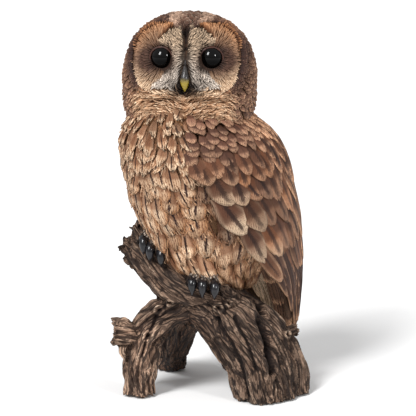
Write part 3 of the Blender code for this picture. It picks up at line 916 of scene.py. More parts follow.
@dataclass(frozen=True)
class PlumageFinish:
    """Painted feathers: barbs or strands, a dark streak, painted shadow under the row above, pale edges.
    """

    name: str
    spacing: float
    rake: float = 1.6
    fan: float = 0.0
    contrast: float = 0.75
    side_from: float = 0.5
    tip_from: float = 0.4
    shadow: float = 0.6
    relief: float = 0.4
    roughness: float = 0.62
    vary: float = 0.56
    gap: float = 0.0
    # colour multiplied in for dark paint in the grooves and for painted shadow under the row above
    wash: Colour = (0.15, 0.085, 0.065)
    grit: float = 620.0
    waver: float = 150.0

    def make(self) -> Material:
        """The material.

        Barbs are a sine of the distance along less the rake times that across. Strands are a
        sine of the distance across over the feather's width there, so that they fan out. The
        paint goes to the edge's paint where the rim, broken up by the barbs, is strong. The
        streak is drawn over that, then dark paint in the barb grooves, painted shadow under the
        row above, and painted shade on the sides of strands where gap is set.

        Returns:
            The finished material.
        """
        r = Recipe(self.name)
        u, v = r.uv("Feather")
        x, y = (part * (1 / BARB_MM) for part in r.uv("Barbs"))
        streak, strength, tone = r.parts(r.attribute("mark"))
        start, side, tip = r.parts(r.attribute("cover"))
        fine = r.noise(self.grit, 3.0).step(0.3, 0.7)
        cloud = r.noise(self.waver, 2.0)
        across, off = abs(x), abs(2.0 * u - 1.0)
        raked = (y - self.rake * across) * (1.0 / math.hypot(1.0, self.rake))
        fanned = x.math("DIVIDE", 0.55 + 0.45 * v.step(0.0, 0.7))
        lines = self.fan * fanned + (1.0 - self.fan) * raked
        angle = lines * (2 * math.pi / self.spacing) + 12.0 * cloud + 1.5 * fine
        barb = 0.5 + 0.5 * angle.math("SINE")
        grain = 0.6 * barb + 0.4 * fine
        rim = (off.step(self.side_from, 1.0) * side).math("MAXIMUM", v.step(self.tip_from, 0.97) * tip)
        rim = (rim * (0.4 + 1.1 * grain)).math("MINIMUM", 1.0)
        ratio = (across * (0.4 + 1.2 * grain)).math("DIVIDE", streak + 0.01)
        line = (1.0 - ratio.step(0.6, 1.6)) * strength * v.step(0.1, 0.3) * (1.0 - v.step(0.8, 0.97))
        coats = ((rim, r.attribute("edge", "Color")), (line, Paint.PLUM.value))
        colour = r.layers(r.attribute("paint", "Color"), coats)
        # dark paint settles in the barb grooves; under is painted shadow where the feather comes out from
        # under the row above
        groove = 1.0 - grain
        under = 1.0 - ((v - start) * 6.0).step(0.0, 1.0)
        dark = (under * self.shadow).math("MAXIMUM", groove * groove * self.contrast)
        # gap: painted shade on the sides of each strand, standing in for the shadowed gaps between strands
        if self.gap:
            dark = dark.math("MAXIMUM", off.step(0.45, 0.95) * self.gap)
        light = 1.0 - 0.5 * self.vary + self.vary * tone
        colour = r.lit(r.mix(dark, colour, self.wash, "MULTIPLY"), light)
        r.bump(grain, self.relief)
        return r.set(Base_Color=colour, Roughness=self.roughness, Specular_IOR_Level=0.2)


@dataclass(frozen=True)
class SkinFinish:
    """The casting under the feathers, in the same paints, dark as painted shade between them, and finely
    grained.
    """

    name: str = "plumage base"

    def make(self) -> Material:
        """The material, from the painted attribute and noise."""
        r = Recipe(self.name)
        fine = r.noise(700.0, 4.0)
        colour = r.mix(fine.step(0.3, 0.8), r.attribute("paint", "Color"), Paint.SOOT.value)
        r.bump(fine, 0.4)
        return r.set(Base_Color=colour, Roughness=0.75, Specular_IOR_Level=0.15)


@dataclass(frozen=True)
class GlossFinish:
    """A smooth paint with a sheen, mottled between two colours."""

    name: str
    colour: Colour
    second: Colour
    roughness: float
    specular: float
    scale: float = 260.0

    def make(self) -> Material:
        """The material: noise sets the share of the second colour and a faint unevenness."""
        r = Recipe(self.name)
        cloud = r.noise(self.scale, 3.0)
        r.bump(cloud, 0.05)
        colour = r.mix(cloud.step(0.35, 0.7), self.colour, self.second)
        return r.set(Base_Color=colour, Roughness=self.roughness, Specular_IOR_Level=self.specular)


@dataclass(frozen=True)
class EyeFinish:
    """Black glass under a clear coat, strong above the eye's middle and thin below it."""

    middle: float
    name: str = "eye glass"
    colour: Colour = (0.001, 0.0008, 0.0008)
    strong: float = 0.5
    thin: float = 0.06
    below: float = 4.0
    above: float = 5.0

    def make(self) -> Material:
        """The material: the coat's weight is a step over the height, from below to above."""
        r = Recipe(self.name)
        upper = r.height().step(self.middle - self.below, self.middle + self.above)
        clear = self.thin + (self.strong - self.thin) * upper
        r.set(Base_Color=self.colour, Roughness=0.15, Specular_IOR_Level=0.04)
        return r.set(Coat_Weight=clear, Coat_Roughness=0.07)


@dataclass(frozen=True)
class BeakFinish:
    """Grey horn at the root that turns yellow towards the tip."""

    name: str = "beak horn"
    yellow_below: float = 351.0
    grey_above: float = 358.0
    greys: tuple[Colour, Colour] = ((0.010, 0.009, 0.009), (0.055, 0.048, 0.046))
    yellows: tuple[Colour, Colour] = ((0.19, 0.13, 0.010), (0.38, 0.29, 0.03))

    def make(self) -> Material:
        """The material: colour by the height on the object, moved up and down by noise."""
        r = Recipe(self.name)
        yellow = 1.0 - (r.height() + 4.0 * r.noise(300.0, 2.0)).step(self.yellow_below, self.grey_above)
        fine = r.noise(700.0, 3.0)
        horn = r.mix(fine.step(0.3, 0.7), *self.greys)
        tip = r.mix(fine, *self.yellows)
        r.bump(fine, 0.06)
        return r.set(Base_Color=r.mix(yellow, horn, tip), Roughness=0.28)


@dataclass(frozen=True)
class BarkFinish:
    """Cast bark: a purple-brown ground, black in the cracks, dry-brushed tan on the ridges."""

    name: str = "painted bark"
    grounds: tuple[Colour, Colour] = ((0.190, 0.117, 0.079), (0.292, 0.193, 0.136))
    dry: Colour = (0.430, 0.295, 0.208)
    bright: Colour = (0.640, 0.480, 0.350)
    hollow: Colour = (0.052, 0.028, 0.018)
    crack: Colour = (0.008, 0.004, 0.003)
    thread: Colour = (0.030, 0.016, 0.011)
    split: Colour = (0.010, 0.005, 0.004)
    # multiplied in as painted shade on the inside of the arch
    shade: Colour = (0.26, 0.17, 0.12)
    relief: float = 2.4

    def make(self) -> Material:
        """The material.

        The relief attribute plus noise drawn out along the grain gives a height. Its bands take
        the paints, from black in the lowest to the brightest on the highest. Two more noises
        leave thin dark lines where they pass their middle value.

        Returns:
            The finished material.
        """
        r = Recipe(self.name)
        grain = r.attribute("grain")
        # inner marks painted shade inside the arch; pale marks painted light on the front left leg
        relief, inner, pale = r.parts(r.attribute("relief"))
        streak = r.noise(1.5, 3.0, grain, 0.6)
        fibre = r.noise(4.8, 3.0, grain, 0.65)
        check = r.noise(420.0, 3.0)
        split = 1.0 - abs(2.0 * r.noise(0.6, 1.0, grain) - 1.0) * 5.4
        thread = 1.0 - abs(2.0 * r.noise(1.3, 1.0, grain) - 1.0) * 3.8
        high = 0.3 + 0.62 * relief + 0.6 * (streak - 0.5) + 2.3 * (fibre - 0.5) + 1.1 * (check - 0.5)
        coats = (
            (high.step(0.84, 1.02) * 0.85, self.dry),
            (high.step(1.05, 1.3) * 0.85, self.bright),
            ((1.0 - high.step(0.12, 0.44)) * 0.75, self.hollow),
            (1.0 - high.step(-0.05, 0.2), self.crack),
            (thread.step(0.2, 0.7) * 0.7, self.thread),
            (split.step(0.1, 0.6) * 0.85, self.split),
        )
        colour = r.layers(r.mix(r.noise(45.0, 3.0).step(0.35, 0.65), *self.grounds), coats)
        # painted shade inside the arch, and painted light that brightens the front left leg
        colour = r.lit(r.mix(inner, colour, self.shade, "MULTIPLY"), 1.0 + 1.0 * pale)
        r.bump(streak * 0.6 + fibre * 1.0 + 0.5 * check - 0.5 * split.step(0.0, 0.7), self.relief)
        return r.set(Base_Color=colour, Roughness=0.7, Specular_IOR_Level=0.25)


def spread_rows(rows: Array, draw: Random, jitter: float, fore: float) -> Array:
    """Places of feathers in rows, each set half a feather over from the one above.

    Args:
        rows: for each row: count, length, half-width, then across, up and lean of its first
            and of its last feather.
        draw: random numbers.
        jitter: how far places stray, in mm.
        fore: how much wider the first feathers of a row are than its middle ones.

    Returns:
        For each feather: row, share along the row, length, half-width, across, up and lean.
    """
    out = []
    for index, row in enumerate(rows):
        count = int(row[0])
        i = np.arange(count)
        share = (i + (0.25 if index % 2 else -0.25) * np.sin(np.pi * i / (count - 1))) / (count - 1)
        wide = 1 + fore * (1 - 2 * share)
        share = share + fore * share * (1 - share)
        ends = np.array(row[3:]).reshape(2, 3)
        place = ends[0] + (ends[1] - ends[0]) * share[:, None]
        place = place + draw.normal(0, 1, (count, 3)) * (jitter, jitter, 4.0)
        sizes = np.array(row[1:3]) * draw.uniform(0.88, 1.12, (count, 2)) * joined(wide**-0.25, wide)
        out.append(np.column_stack((np.full(count, index), share, sizes, place)))
    return np.concatenate(out)


@dataclass
class Wings:
    """Both folded wings: scales on the shoulder, coverts, then secondaries and primaries.

    The rows are those of spread_rows, from the top down, with places across in degrees from the
    breast.
    """

    rows: Rows = (
        (18, 13, 4.6, 48, 302, -4, 142, 303, 6),
        (18, 14, 4.8, 46, 295, -3, 145, 298, 8),
        (18, 15, 5.0, 45, 288, -2, 148, 292, 9),
        (17, 17, 5.2, 44, 281, 0, 151, 286, 10),
        (16, 20, 5.6, 43, 273, 2, 153, 279, 12),
        (15, 24, 6.2, 43, 264, 5, 155, 270, 13),
        (14, 32, 7.4, 46, 253, 8, 156, 259, 14),
        (13, 36, 8.1, 50, 242, 12, 158, 247, 15),
        (13, 46, 9.0, 60, 221, 16, 160, 230, 16),
        (12, 56, 10.0, 69, 191, 22, 162, 206, 17),
        (11, 66, 9.6, 83, 152, 26, 164, 176, 18),
        (12, 84, 7.0, 90, 124, 22, 164, 143, 15),
        (12, 100, 5.9, 97, 100, 17, 160, 110, 12),
        (10, 112, 5.2, 105, 80, 14, 152, 84, 9),
        (7, 116, 4.8, 114, 65, 11, 143, 66, 7),
    )
    first_covert: int = 6
    first_flight: int = 11
    jitter: float = 2.0
    fore: float = 0.52
    scale: Cut = Cut(9, 7, 0.6, 0.5, 1.7, 0.8, 0.3, 1.4, 1.6, 2.1, 0.1, 0, 0, 0.07)
    covert: Cut = Cut(15, 11, 0.55, 0.5, 1.45, 1.5, 0.4, 1.6, 1.9, 2.6, 0.08, 4.0, 0.3, 0.07)
    flight: Cut = Cut(21, 7, 0.7, 0.74, 1.4, 0.9, 0.5, 1.2, 1.6, 2.2, 0.03, 2.0, 0.2, 0.02)
    seeds: dict[str, int] = field(default_factory=lambda: {"left": 11, "right": 12})

    def starts(self, row: Array) -> Array:
        """Share of the length at which each feather comes out from under the row above."""
        rows = np.array(self.rows, float)
        tips = 0.5 * (rows[:, 4] + rows[:, 7])
        step = np.concatenate(([10.0], tips[:-1] - tips[1:]))
        return (1 - step / rows[:, 1])[row.astype(int)]

    def batch(self, f: Array, roots: Array, draw: Random) -> Batch:
        """Sizes and paints of wing feathers.

        The shoulder is purple-brown with tan tips. The coverts are rufous with a dark streak,
        and those at the front edge have the palest tips. The flight feathers are narrow and
        dark between tan edges.

        Args:
            f: rows of spread_rows.
            roots: their roots on the chart.
            draw: random numbers.

        Returns:
            The batch.
        """
        row, share = f[:, 0], f[:, 1]
        covert = ease(row, self.first_covert - 1.5, self.first_covert + 1)
        flight = ease(row, self.first_flight - 1, self.first_flight + 1)
        tone = draw.uniform(0, 1, (4, len(f)))
        front = np.clip((1 - ease(share, 0.02, 0.3)) * bump(row, 9.0, 1.7), 0, 1)
        rear = ease(share, 0.35, 0.7) * (1 - flight)
        paints = (
            (covert * (0.2 + 0.8 * tone[0]), Paint.CHESTNUT * 1.25),
            (0.6 * covert * ease(tone[2], 0.45, 0.8), Paint.RUFOUS * 1.1),
            (0.4 * covert * ease(tone[3], 0.6, 0.9), Paint.PLUM * 2.2),
            (flight, Paint.UMBER * 0.75),
            (0.6 * rear, Paint.CHESTNUT * 1.3),
        )
        edges = (
            (tone[1], Paint.TAN * 1.15),
            (front, Paint.CREAM * 1.05),
            (rear, Paint.TAN * 2.3),
            (flight, Paint.TAN * 2.1),
        )
        streak = 0.8 + (0.9 + 1.2 * tone[1]) * covert - 1.4 * flight
        strength = 0.3 + 0.7 * covert * (0.5 + 0.5 * tone[3]) - 0.1 * flight
        side = 0.35 + 0.25 * covert * tone[1] + 0.65 * rear + 0.6 * flight
        tip = 0.55 - 0.3 * covert * tone[0] + 1.05 * front - 0.1 * flight
        mark = joined(streak, strength, tone[2])
        cover = joined(self.starts(row), side + 0.5 * front, tip)
        patch = joined(0.02 + roots[:, 0] / 560, 0.02 + roots[:, 1] / 340)
        paint, edge = coated(Paint.UMBER * 1.6, paints), coated(Paint.TAN * 0.75, edges)
        return Batch(f[:, 2], f[:, 3], paint, edge, mark, cover, patch)

    def build(self, side: int, finish: Material, narrow: Material) -> None:
        """One wing.

        Args:
            side: 1 for the bird's left.
            finish: for the scales and coverts.
            narrow: for the flight feathers.
        """
        word = "left" if side > 0 else "right"
        draw = np.random.default_rng(self.seeds[word])
        rows = np.array(self.rows, float)
        rows[:, (3, 6)] = np.radians(rows[:, (3, 6)]) * CHART_RADIUS
        f = spread_rows(rows, draw, self.jitter, self.fore)
        loose = ease(f[:, 1], 0.25, 0.75) * (f[:, 0] < self.first_flight)
        f[:, 2] *= 1 + 0.5 * loose
        f[:, 5] += draw.normal(0, 5.5, len(f)) * loose * ease(f[:, 0], 1, 7)
        lean = np.radians(f[:, 6])
        roots = f[:, 4:6] - f[:, 2, None] * down(lean)
        batch = self.batch(f, roots, draw)
        chart = wing_chart(side)
        flights = f[:, 0] >= self.first_flight
        scales = f[:, 0] < self.first_covert
        kinds = (
            ("coverts", finish, ((self.scale, scales), (self.covert, ~scales & ~flights))),
            ("flights", narrow, ((self.flight, flights),)),
        )
        for name, paint, cuts in kinds:
            coat = Coat(name=f"wing_{word}_{name}", draw=draw)
            for cut, k in cuts:
                coat.add(cut, chart.spread(roots[k], lean[k]), batch.only(k), side)
            coat.make(paint, "brown_plumage")


@dataclass
class Tail:
    """Long stiff feathers above and below, fanned a little, with their coverts.

    Tiers: how far the tips lie above the lowest ones, and the length as a share of theirs.
    """

    length: float = 96.0
    tip: float = 50.0
    count: int = 10
    tiers: Rows = ((0.0, 1.0), (30.0, 0.72), (58.0, 0.6), (84.0, 0.45))
    cut: Cut = Cut(19, 9, 0.8, 0.8, 2.2, 0.9, 0.6, 1.2, 1.5, 1.6, 0.02, 3.0, 0.15, 0.01)
    seed: int = 41

    def build(self, finish: Material) -> None:
        """Every feather of the tail as one piece."""
        draw = np.random.default_rng(self.seed)
        coat = Coat(name="tail_feathers", draw=draw)
        share = np.linspace(-1, 1, self.count)
        for under in (False, True):
            for tier, (lift, size) in enumerate(self.tiers):
                lean = np.radians(draw.normal(0, 1.2, self.count) - 3.5 * share)
                length = self.length * size * draw.uniform(0.96, 1.04, self.count)
                tip = joined(share * (18 + 4 * tier), self.tip + lift + 7 * share**2)
                roots = tip - length[:, None] * down(lean)
                outer = under * ease(-share, 0.1, 0.4) * (tier < 3)
                # the under side and its outer strip are drawn much paler than the upper side: the pale
                # strip is real, but the extra brightness of both is painted light making up for the shade
                # of the body over them
                base = Paint.SLATE * 2.6 if under else Paint.UMBER.rgb
                batch = Batch(
                    length,
                    np.full(self.count, 4.4 + 0.7 * tier),
                    blend(base, Paint.CREAM * 1.25, outer),
                    blend(Paint.TAN * (3.0 if under else 1.2), Paint.CREAM * 1.4, outer),
                    joined(0.6, 0.6, draw.uniform(0, 1, self.count)),
                    joined(0.65 if tier == 0 else 0.4, 0.8, 0.6 + 0 * share),
                    joined(0.1 + 0.4 * under + 0.004 * roots[:, 0], roots[:, 1] / 400),
                )
                chart = tail_chart(under)
                coat.add(self.cut, chart.spread(roots, lean), batch, chart.handed)
        coat.make(finish, "brown_plumage")


@dataclass
class Breast:
    """Body feathers in rows round the body, frayed at their tips by fine strands."""

    top: float = 322.0
    bottom: float = 111.0
    middle: float = 200.0
    reach: float = 52.0
    small: float = 10.5
    growth: float = 8.8
    puff: Cut = Cut(11, 13, 0.7, 0.6, 2.3, 1.1, 0.2, 1.4, 1.6, 2.1, 0.2, 6.0, 0.45, 0.06)
    tuft: Cut = Cut(9, 9, 0.65, 0.5, 1.6, 1.2, 0.3, 1.4, 1.6, 2.5, 0.3, 4.0, 0.5, 0.1)
    fringe: Cut = Cut(5, 3, 0.7, 0.4, 1.3, 0.5, 0.0, 0.8, -1.2, 2.7, 0.15, 0, 0, 0.12)
    fringes: int = 9
    seed: int = 21

    def pitch(self, height: Values) -> Values:
        """How far each row shows: largest on the breast."""
        return self.small + self.growth * bump(height, self.middle, self.reach)

    def places(self, draw: Random) -> Array:
        """Roots of all body feathers that no wing hides, across and up."""
        out, height, odd = [], self.top, 0
        while height > self.bottom:
            step = float(self.pitch(height))
            wide = float(smooth(BODY.belly if height < BODY.belly[-1][0] else BODY.outer, 2, height))
            count = int(2 * np.pi * wide / (0.98 * step))
            a = ((np.arange(count) + 0.5 * odd) / count - 0.5) * 2 * np.pi * CHART_RADIUS
            angle = np.degrees(np.abs(a) / CHART_RADIUS)
            front, rear = (wing_edge(height - step, k) for k in (1, 2))
            keep = (angle < front + 16) | (angle > rear - 14) | (height > 296) | (height < 150)
            out.append(joined(a, height)[keep])
            height, odd = height - step, 1 - odd
        places = np.concatenate(out)
        stray = 0.15 * self.pitch(places[:, 1])[:, None]
        return places + draw.normal(0, 1, places.shape) * stray

    def ground(self, across: Array, up: Array) -> tuple[Array, Array]:
        """Colours of the middle and of the sides of feathers, by place on the body chart."""
        angle = np.degrees(across / CHART_RADIUS)
        flank = ease(angle, 25, 62) * ease(-up, -225, -165)
        back = ease(np.abs(angle), 112, 135)
        cream = Paint.CREAM * (1.5 - 0.5 * ease(up, 170, 245))[..., None]
        middle = blend(cream, Paint.OCHRE * 1.7, 0.5 * flank)
        sides = blend(Paint.OCHRE * 1.02, Paint.OLIVE * 1.5, flank)
        # painted shadow on the body feathers just past the wing's front edge
        past = np.abs(angle) - wing_edge(up, 1)
        wing_edge_shadow = 0.7 * bump(past, 2.0, 4.0) * ease(up, 125, 150)
        middle, sides = (blend(part, Paint.UMBER * 0.7, wing_edge_shadow) for part in (middle, sides))
        nape = ease(np.abs(angle), 40, 58) * ease(up, 262, 285)
        dark = np.maximum(back, 0.9 * nape)
        return blend(middle, Paint.UMBER * 1.3, dark), blend(sides, Paint.TAN * 0.7, dark)

    def build(self, finish: Material) -> None:
        """The body feathers as one piece, and the strands that fray their tips as another."""
        draw = np.random.default_rng(self.seed)
        roots = self.places(draw)
        count = len(roots)
        across, up = roots.T
        angle = np.degrees(across / CHART_RADIUS)
        pitch = self.pitch(up)
        ragged = (up > 270) & (np.abs(angle) < 135)
        tone = draw.uniform(0, 1, (4, count))
        long = np.where(ragged, 2.3 - 0.6 * ease(up, 296, 312), 2.25)
        length = pitch * long * (0.85 + 0.3 * tone[0])
        half = pitch * np.where(ragged, 0.56, 0.68) * (0.85 + 0.3 * tone[1])
        drift = angle * (0.08 + 0.22 * ease(-up, -240, -150)) * (np.abs(angle) < 120)
        lean = np.radians(draw.normal(0, 1, count) * np.where(ragged, 14, 9) + drift)
        middle, sides = self.ground(across, up)
        back = ease(np.abs(angle), 112, 135)
        paint = blend(middle, sides, (0.75 * tone[2] ** 2) * (1 - back))
        torn = ease(up + 14 * (tone[3] - 0.5), 250, 278) * (1 - back)
        paint = blend(paint, sides * 0.95, torn * (0.1 + 0.5 * tone[0]))
        edge = blend(sides, middle * 1.15, torn)
        strength = np.where(tone[3] > 0.3, 1.0, 0.15) * np.where(ragged, 0.9, 1) * (1 - 0.6 * back)
        mark = joined(0.3 + 0.05 * pitch, strength, draw.uniform(0, 1, count))
        start = 0.48 + 0.12 * ease(up, 303, 312)
        cover = joined(start, 0.95 - 0.15 * torn, 0.25 + 0.6 * np.maximum(back, torn))
        patch = joined(0.5 + across / 600, up / 340)
        batch = Batch(length, half, paint, edge, mark, cover, patch)
        coat = Coat(name="body_feathers", draw=draw)
        for cut, k in ((self.tuft, ragged), (self.puff, ~ragged)):
            coat.add(cut, body_chart().spread(roots[k], lean[k]), batch.only(k))
        coat.make(finish, "breast_plumage")
        coat = Coat(name="body_fringe", draw=draw)
        self.fray(coat, batch, roots, lean, back < 0.5)
        coat.make(finish, "breast_plumage")

    def fray(self, coat: Coat, batch: Batch, roots: Array, lean: Array, keep: Array) -> None:
        """Fine strands over the lower half of each feather, past its tip.

        Args:
            coat: what they are added to.
            batch: the feathers.
            roots: their roots on the chart.
            lean: their angles.
            keep: which of them are frayed.
        """
        draw = coat.draw
        which = np.repeat(np.flatnonzero(keep), self.fringes)
        which = which[(roots[which, 1] < 268) | (draw.uniform(0, 1, len(which)) < 0.3)]
        count = len(which)
        b = batch.only(which)
        s = draw.uniform(-0.9, 0.9, count)
        t = draw.uniform(0.46, 0.76, count)
        way = down(lean[which])
        side = way[:, ::-1] * (-1, 1)
        place = roots[which] + way * (t * b.length)[:, None] + side * (s * b.half)[:, None]
        turn = lean[which] + 0.45 * s + draw.normal(0, 0.18, count)
        tone = draw.uniform(0, 1, (2, count))
        paint = blend(b.paint, b.edge, np.clip(0.9 * np.abs(s) + 0.6 * (tone[0] - 0.45), 0, 1))
        strands = Batch(
            b.length * draw.uniform(0.24, 0.42, count),
            draw.uniform(0.55, 1.05, count),
            paint,
            paint * 1.2,
            joined(NO_STREAK, 0.0, tone[1]),
            np.tile((0.1, 0.2, 0.8), (count, 1)),
            b.patch,
        )
        coat.add(self.fringe, body_chart().spread(place, turn), strands)


@dataclass
class HeadCoat:
    """The head's plumage: small scales, two radiating discs, pale bands, and the chin."""

    scale_count: int = 2900
    disc_rings: tuple[float, float, int] = (0.32, 0.97, 14)
    disc_radius: float = 33.0
    strand_pitch: float = 1.3
    rim_count: int = 84
    collar_count: int = 88
    seed: int = 51
    scale: Cut = Cut(6, 5, 0.6, 0.5, 1.8, 0.7, 0.0, 1.0, 1.2, 2.1, 0.14, 0, 0, 0.08)
    strand: Cut = Cut(6, 3, 0.75, 0.4, 1.5, 0.45, 0.0, 0.7, 0.9, 1.0, 0.1, 0, 0, 0.04)
    long: Cut = Cut(9, 3, 0.7, 0.4, 1.4, 0.8, 0.0, 0.9, 1.2, 2.4, 0.15, 0, 0, 0.12)
    tuft: Cut = Cut(7, 5, 0.7, 0.4, 1.4, 0.7, 0.0, 0.9, 1.2, 2.0, 0.25, 0, 0, 0.08)

    def lobe(self, x: Array, z: Array) -> Array:
        """How far a place is inside the pale bands, from 0 to 1."""
        x = np.abs(x)
        heights = (-9, -5, 0, 5, 10, 15, 22, 29, 34, 38, 41, 46, 51, 54)
        outer = np.interp(z, heights, (34, 35, 29, 23, 18, 15.5, 13.5, 15.5, 22, 29, 28, 24, 19, 13))
        inner = np.interp(z, (-9, 0, 12, 20, 56), (13, 6.5, 4, 1.6, 2.6))
        inside = ease(outer - x, -0.6, 0.6) * ease(x - inner, -0.5, 0.5)
        return inside * ease(z, -9, -7.5) * (1 - ease(z, 52.5, 54.5))

    def zone(self, points: Array) -> tuple[Array, Array]:
        """Base and edge colours of the head.

        Args:
            points: places in the head's frame.

        Returns:
            Brown scales, darker round the discs; rufous over buff in the discs with soot round the
            eyes; pale bands between them; a dark stripe on the crown between two buff ones; ochre
            under the chin, in bands with painted shadow between them; and black round the beak:
            dark bristles, painted shade beside it and painted shadow in its gape.
        """
        x, y, z = points.T
        share = SKULL.share(x, z)
        front = ease(-y, -5, 12)
        moat = bump(share, 1.17, 0.11) * front
        chin = ease(-z, 8, 16) * front * ease(share, 0.97, 1.05)
        chin = chin * (1 - ease(-x, 48, 60)) * (1 - ease(x, 40, 50))
        # light and dark bands across the chin: the dark between them is painted shadow under each row of
        # strands
        chin_band_shade = 0.5 + 0.5 * np.sin((z + 0.012 * (np.abs(x) - 20) ** 2) * 0.75)
        crown = ease(z, 46, 56) * (1 - ease(y, 20, 50))
        open_up = ease(z, 51, 64)
        aside = np.abs(x - 4.0 * open_up)
        stripe = ease(aside, 6, 10) * (1 - ease(aside, 18, 25)) * crown
        crest = ease(2.0 + 7.0 * open_up - aside, -1.5, 1.5) * crown
        disc = (1 - ease(share, 1.03, 1.08)) * front
        high = ease(z, 4, 40) * (0.55 + 0.45 * ease(share, 0.55, 0.95))
        bright = (0.6 + 0.5 * ease(share, 0.5, 1.0))[:, None]
        out, up = np.abs(x) - SKULL.eye_out, z - SKULL.eye_up
        near = np.hypot(out / (1.15 + 0.55 * (out > 0)), up + 0.12 * np.abs(out))
        soot = (1 - ease(near, 11.0, 17.5)) * disc
        haze = (1 - ease(near, 14, 27)) * disc * 0.55
        pale = self.lobe(x, z) * front * (1 - 0.75 * soot)
        light = blend(Paint.PEARL * 1.15, Paint.CREAM.rgb, ease(z, 8, 40))
        groove = bump(x, 0, 1.8) * ease(z, 8, 14) * (1 - ease(z, 49, 57)) * front
        # soot round the beak: dark bristles along its sides with painted shade, and painted shadow in the
        # gape below it
        below, above = bump(x, 0, 12.5) * bump(z, -7, 8.5), bump(x, 0, 5.0) * bump(z, 4, 11)
        black = np.clip(np.maximum(1.7 * below, 1.4 * above) * front, 0, 1)
        bases = (
            (moat, Paint.PLUM.rgb),
            (chin, blend(Paint.CHESTNUT * 0.7, Paint.OCHRE * 1.25, chin_band_shade)),
            (stripe, Paint.ROSE * 0.8),
            (crest, Paint.UMBER * 0.9),
            (disc, blend(Paint.BUFF * 0.75, Paint.RUFOUS * 0.62, high)),
            (np.clip(1.3 * soot, 0, 1), Paint.SOOT.rgb),
            (haze, Paint.UMBER * 0.6),
            (pale, light * 0.27),
            (groove, Paint.SOOT.rgb),
            (black, Paint.SOOT.rgb),
        )
        edges = (
            (0.9 * moat, Paint.UMBER * 0.9),
            (chin, blend(Paint.BUFF * 0.8, Paint.CREAM * 1.35, chin_band_shade)),
            (stripe, Paint.ROSE * 1.5),
            (crest, Paint.ASH * 1.25),
            (disc, blend(Paint.CREAM * 1.2, Paint.OCHRE * 1.35, high) * bright),
            (np.clip(1.15 * soot, 0, 1), Paint.PLUM.rgb),
            (haze, Paint.UMBER.rgb),
            (pale, light * (1.3 + 0.12 * ease(-z, -10, 0))[:, None]),
            (groove, Paint.SOOT * 1.5),
            (black, Paint.SOOT * 1.5),
        )
        return coated(Paint.UMBER * 1.05, bases), coated(Paint.TAN * 1.2, edges)

    def lay(
        self, coat: Coat, cut: Cut, roots: Array, ways: Sequence[Values], stray: float,
        sizes: tuple[Values, Values], look: float = 0.5, start: float = 0.3, side: float = 0.6,
    ) -> None:
        """Adds feathers to the head.

        Args:
            coat: what they are added to.
            cut: their kind.
            roots: places on the head.
            ways: where they point, as three parts.
            stray: how far that varies.
            sizes: length and half-width of each, or one of both for all.
            look: where along the feather its colour is read, as a share of its length.
            start: where along it the painted shadow from the row above ends.
            side: how pale its sides are.
        """
        draw, count = coat.draw, len(roots)
        ways = unit(joined(*ways) + draw.normal(0, stray, (count, 3)))
        length, half = (size * draw.uniform(0.82, 1.18, count) for size in sizes)
        paints = self.zone(SKULL.toward(roots + look * length[:, None] * ways))
        tone = draw.uniform(0, 1, (2, count))
        azimuth = np.arctan2(roots[:, 0], -roots[:, 1])
        tilt = np.arcsin(roots[:, 2] / np.linalg.norm(roots, axis=1))
        patch = joined(0.5 + azimuth / (2.1 * np.pi), 0.5 + tilt / (1.1 * np.pi))
        cover = joined(start, side, 0.6 + 0.4 * tone[1])
        batch = Batch(length, half, *paints, joined(NO_STREAK, 0.0, tone[0]), cover, patch)
        coat.add(cut, head_spread(roots, ways), batch)

    def scales(self, coat: Coat) -> None:
        """Small scales all over the head outside the discs, on a spiral of even steps.

        They flow away from the middle of the face, and down at the sides and behind.
        """
        i = np.arange(self.scale_count) + 0.5
        z = 1 - 2 * i / self.scale_count
        turn = i * math.pi * (3 - math.sqrt(5))
        flat = np.sqrt(1 - z**2)
        ball = joined(flat * np.cos(turn), flat * np.sin(turn), z)
        roots = SKULL.toward(ball + coat.draw.normal(0, 0.012, ball.shape))
        x, y, z = roots.T
        share = SKULL.share(x, z)
        chin = (z < -13) & (y < -14) & (x > -54) & (x < 46)
        keep = (z > -50) & ((share > 1.05) | (y > -8)) & ~chin
        keep &= ~((np.abs(x) < 5) & (y < -25) & (z < 47))
        roots = roots[keep]
        x, y, z = roots.T
        ways = unit(roots - (0, -SKULL.front, SKULL.eye_up)) + ease(-z, -45, 5)[:, None] * (0, 0, -0.9)
        near = bump(SKULL.share(x, z), 1.08, 0.14) * ease(-y, -5, 10)
        self.lay(coat, self.scale, roots, ways.T, 0.28, (8.6 - 2.8 * near, 2.9 - 0.9 * near))

    def rim(self, coat: Coat) -> None:
        """Rings of small dark feathers that frame each disc."""
        for side in (-1, 1):
            for share in (1.03, 1.09, 1.15):
                even = np.linspace(-62, 125, self.rim_count)
                turn = np.radians(even + coat.draw.normal(0, 0.7, self.rim_count))
                x, z, cos, sin = self.on_ring(turn, share)
                keep = (x > 3) & (z < 60) & (z > -34)
                x, z, cos, sin = (v[keep] for v in (x, z, cos, sin))
                ways = (side * cos, 0.6, sin - 0.25)
                self.lay(coat, self.scale, SKULL.face(side * x, z), ways, 0.15, (5.6, 1.5), 1.3)

    def on_ring(self, turn: Array, share: float) -> tuple[Array, ...]:
        """A ring round an eye: x and z at a share of the disc's edge, then cosine and sine."""
        cos, sin = np.cos(turn), np.sin(turn)
        wide = np.where(cos > 0, SKULL.disc_out, SKULL.disc_in)
        high = np.where(sin > 0, SKULL.disc_up, SKULL.disc_down)
        p = SKULL.disc_square
        reach = (np.abs(cos / wide) ** p + np.abs(sin / high) ** p) ** (-1 / p) * share
        return SKULL.eye_out + reach * cos, SKULL.eye_up + reach * sin, cos, sin

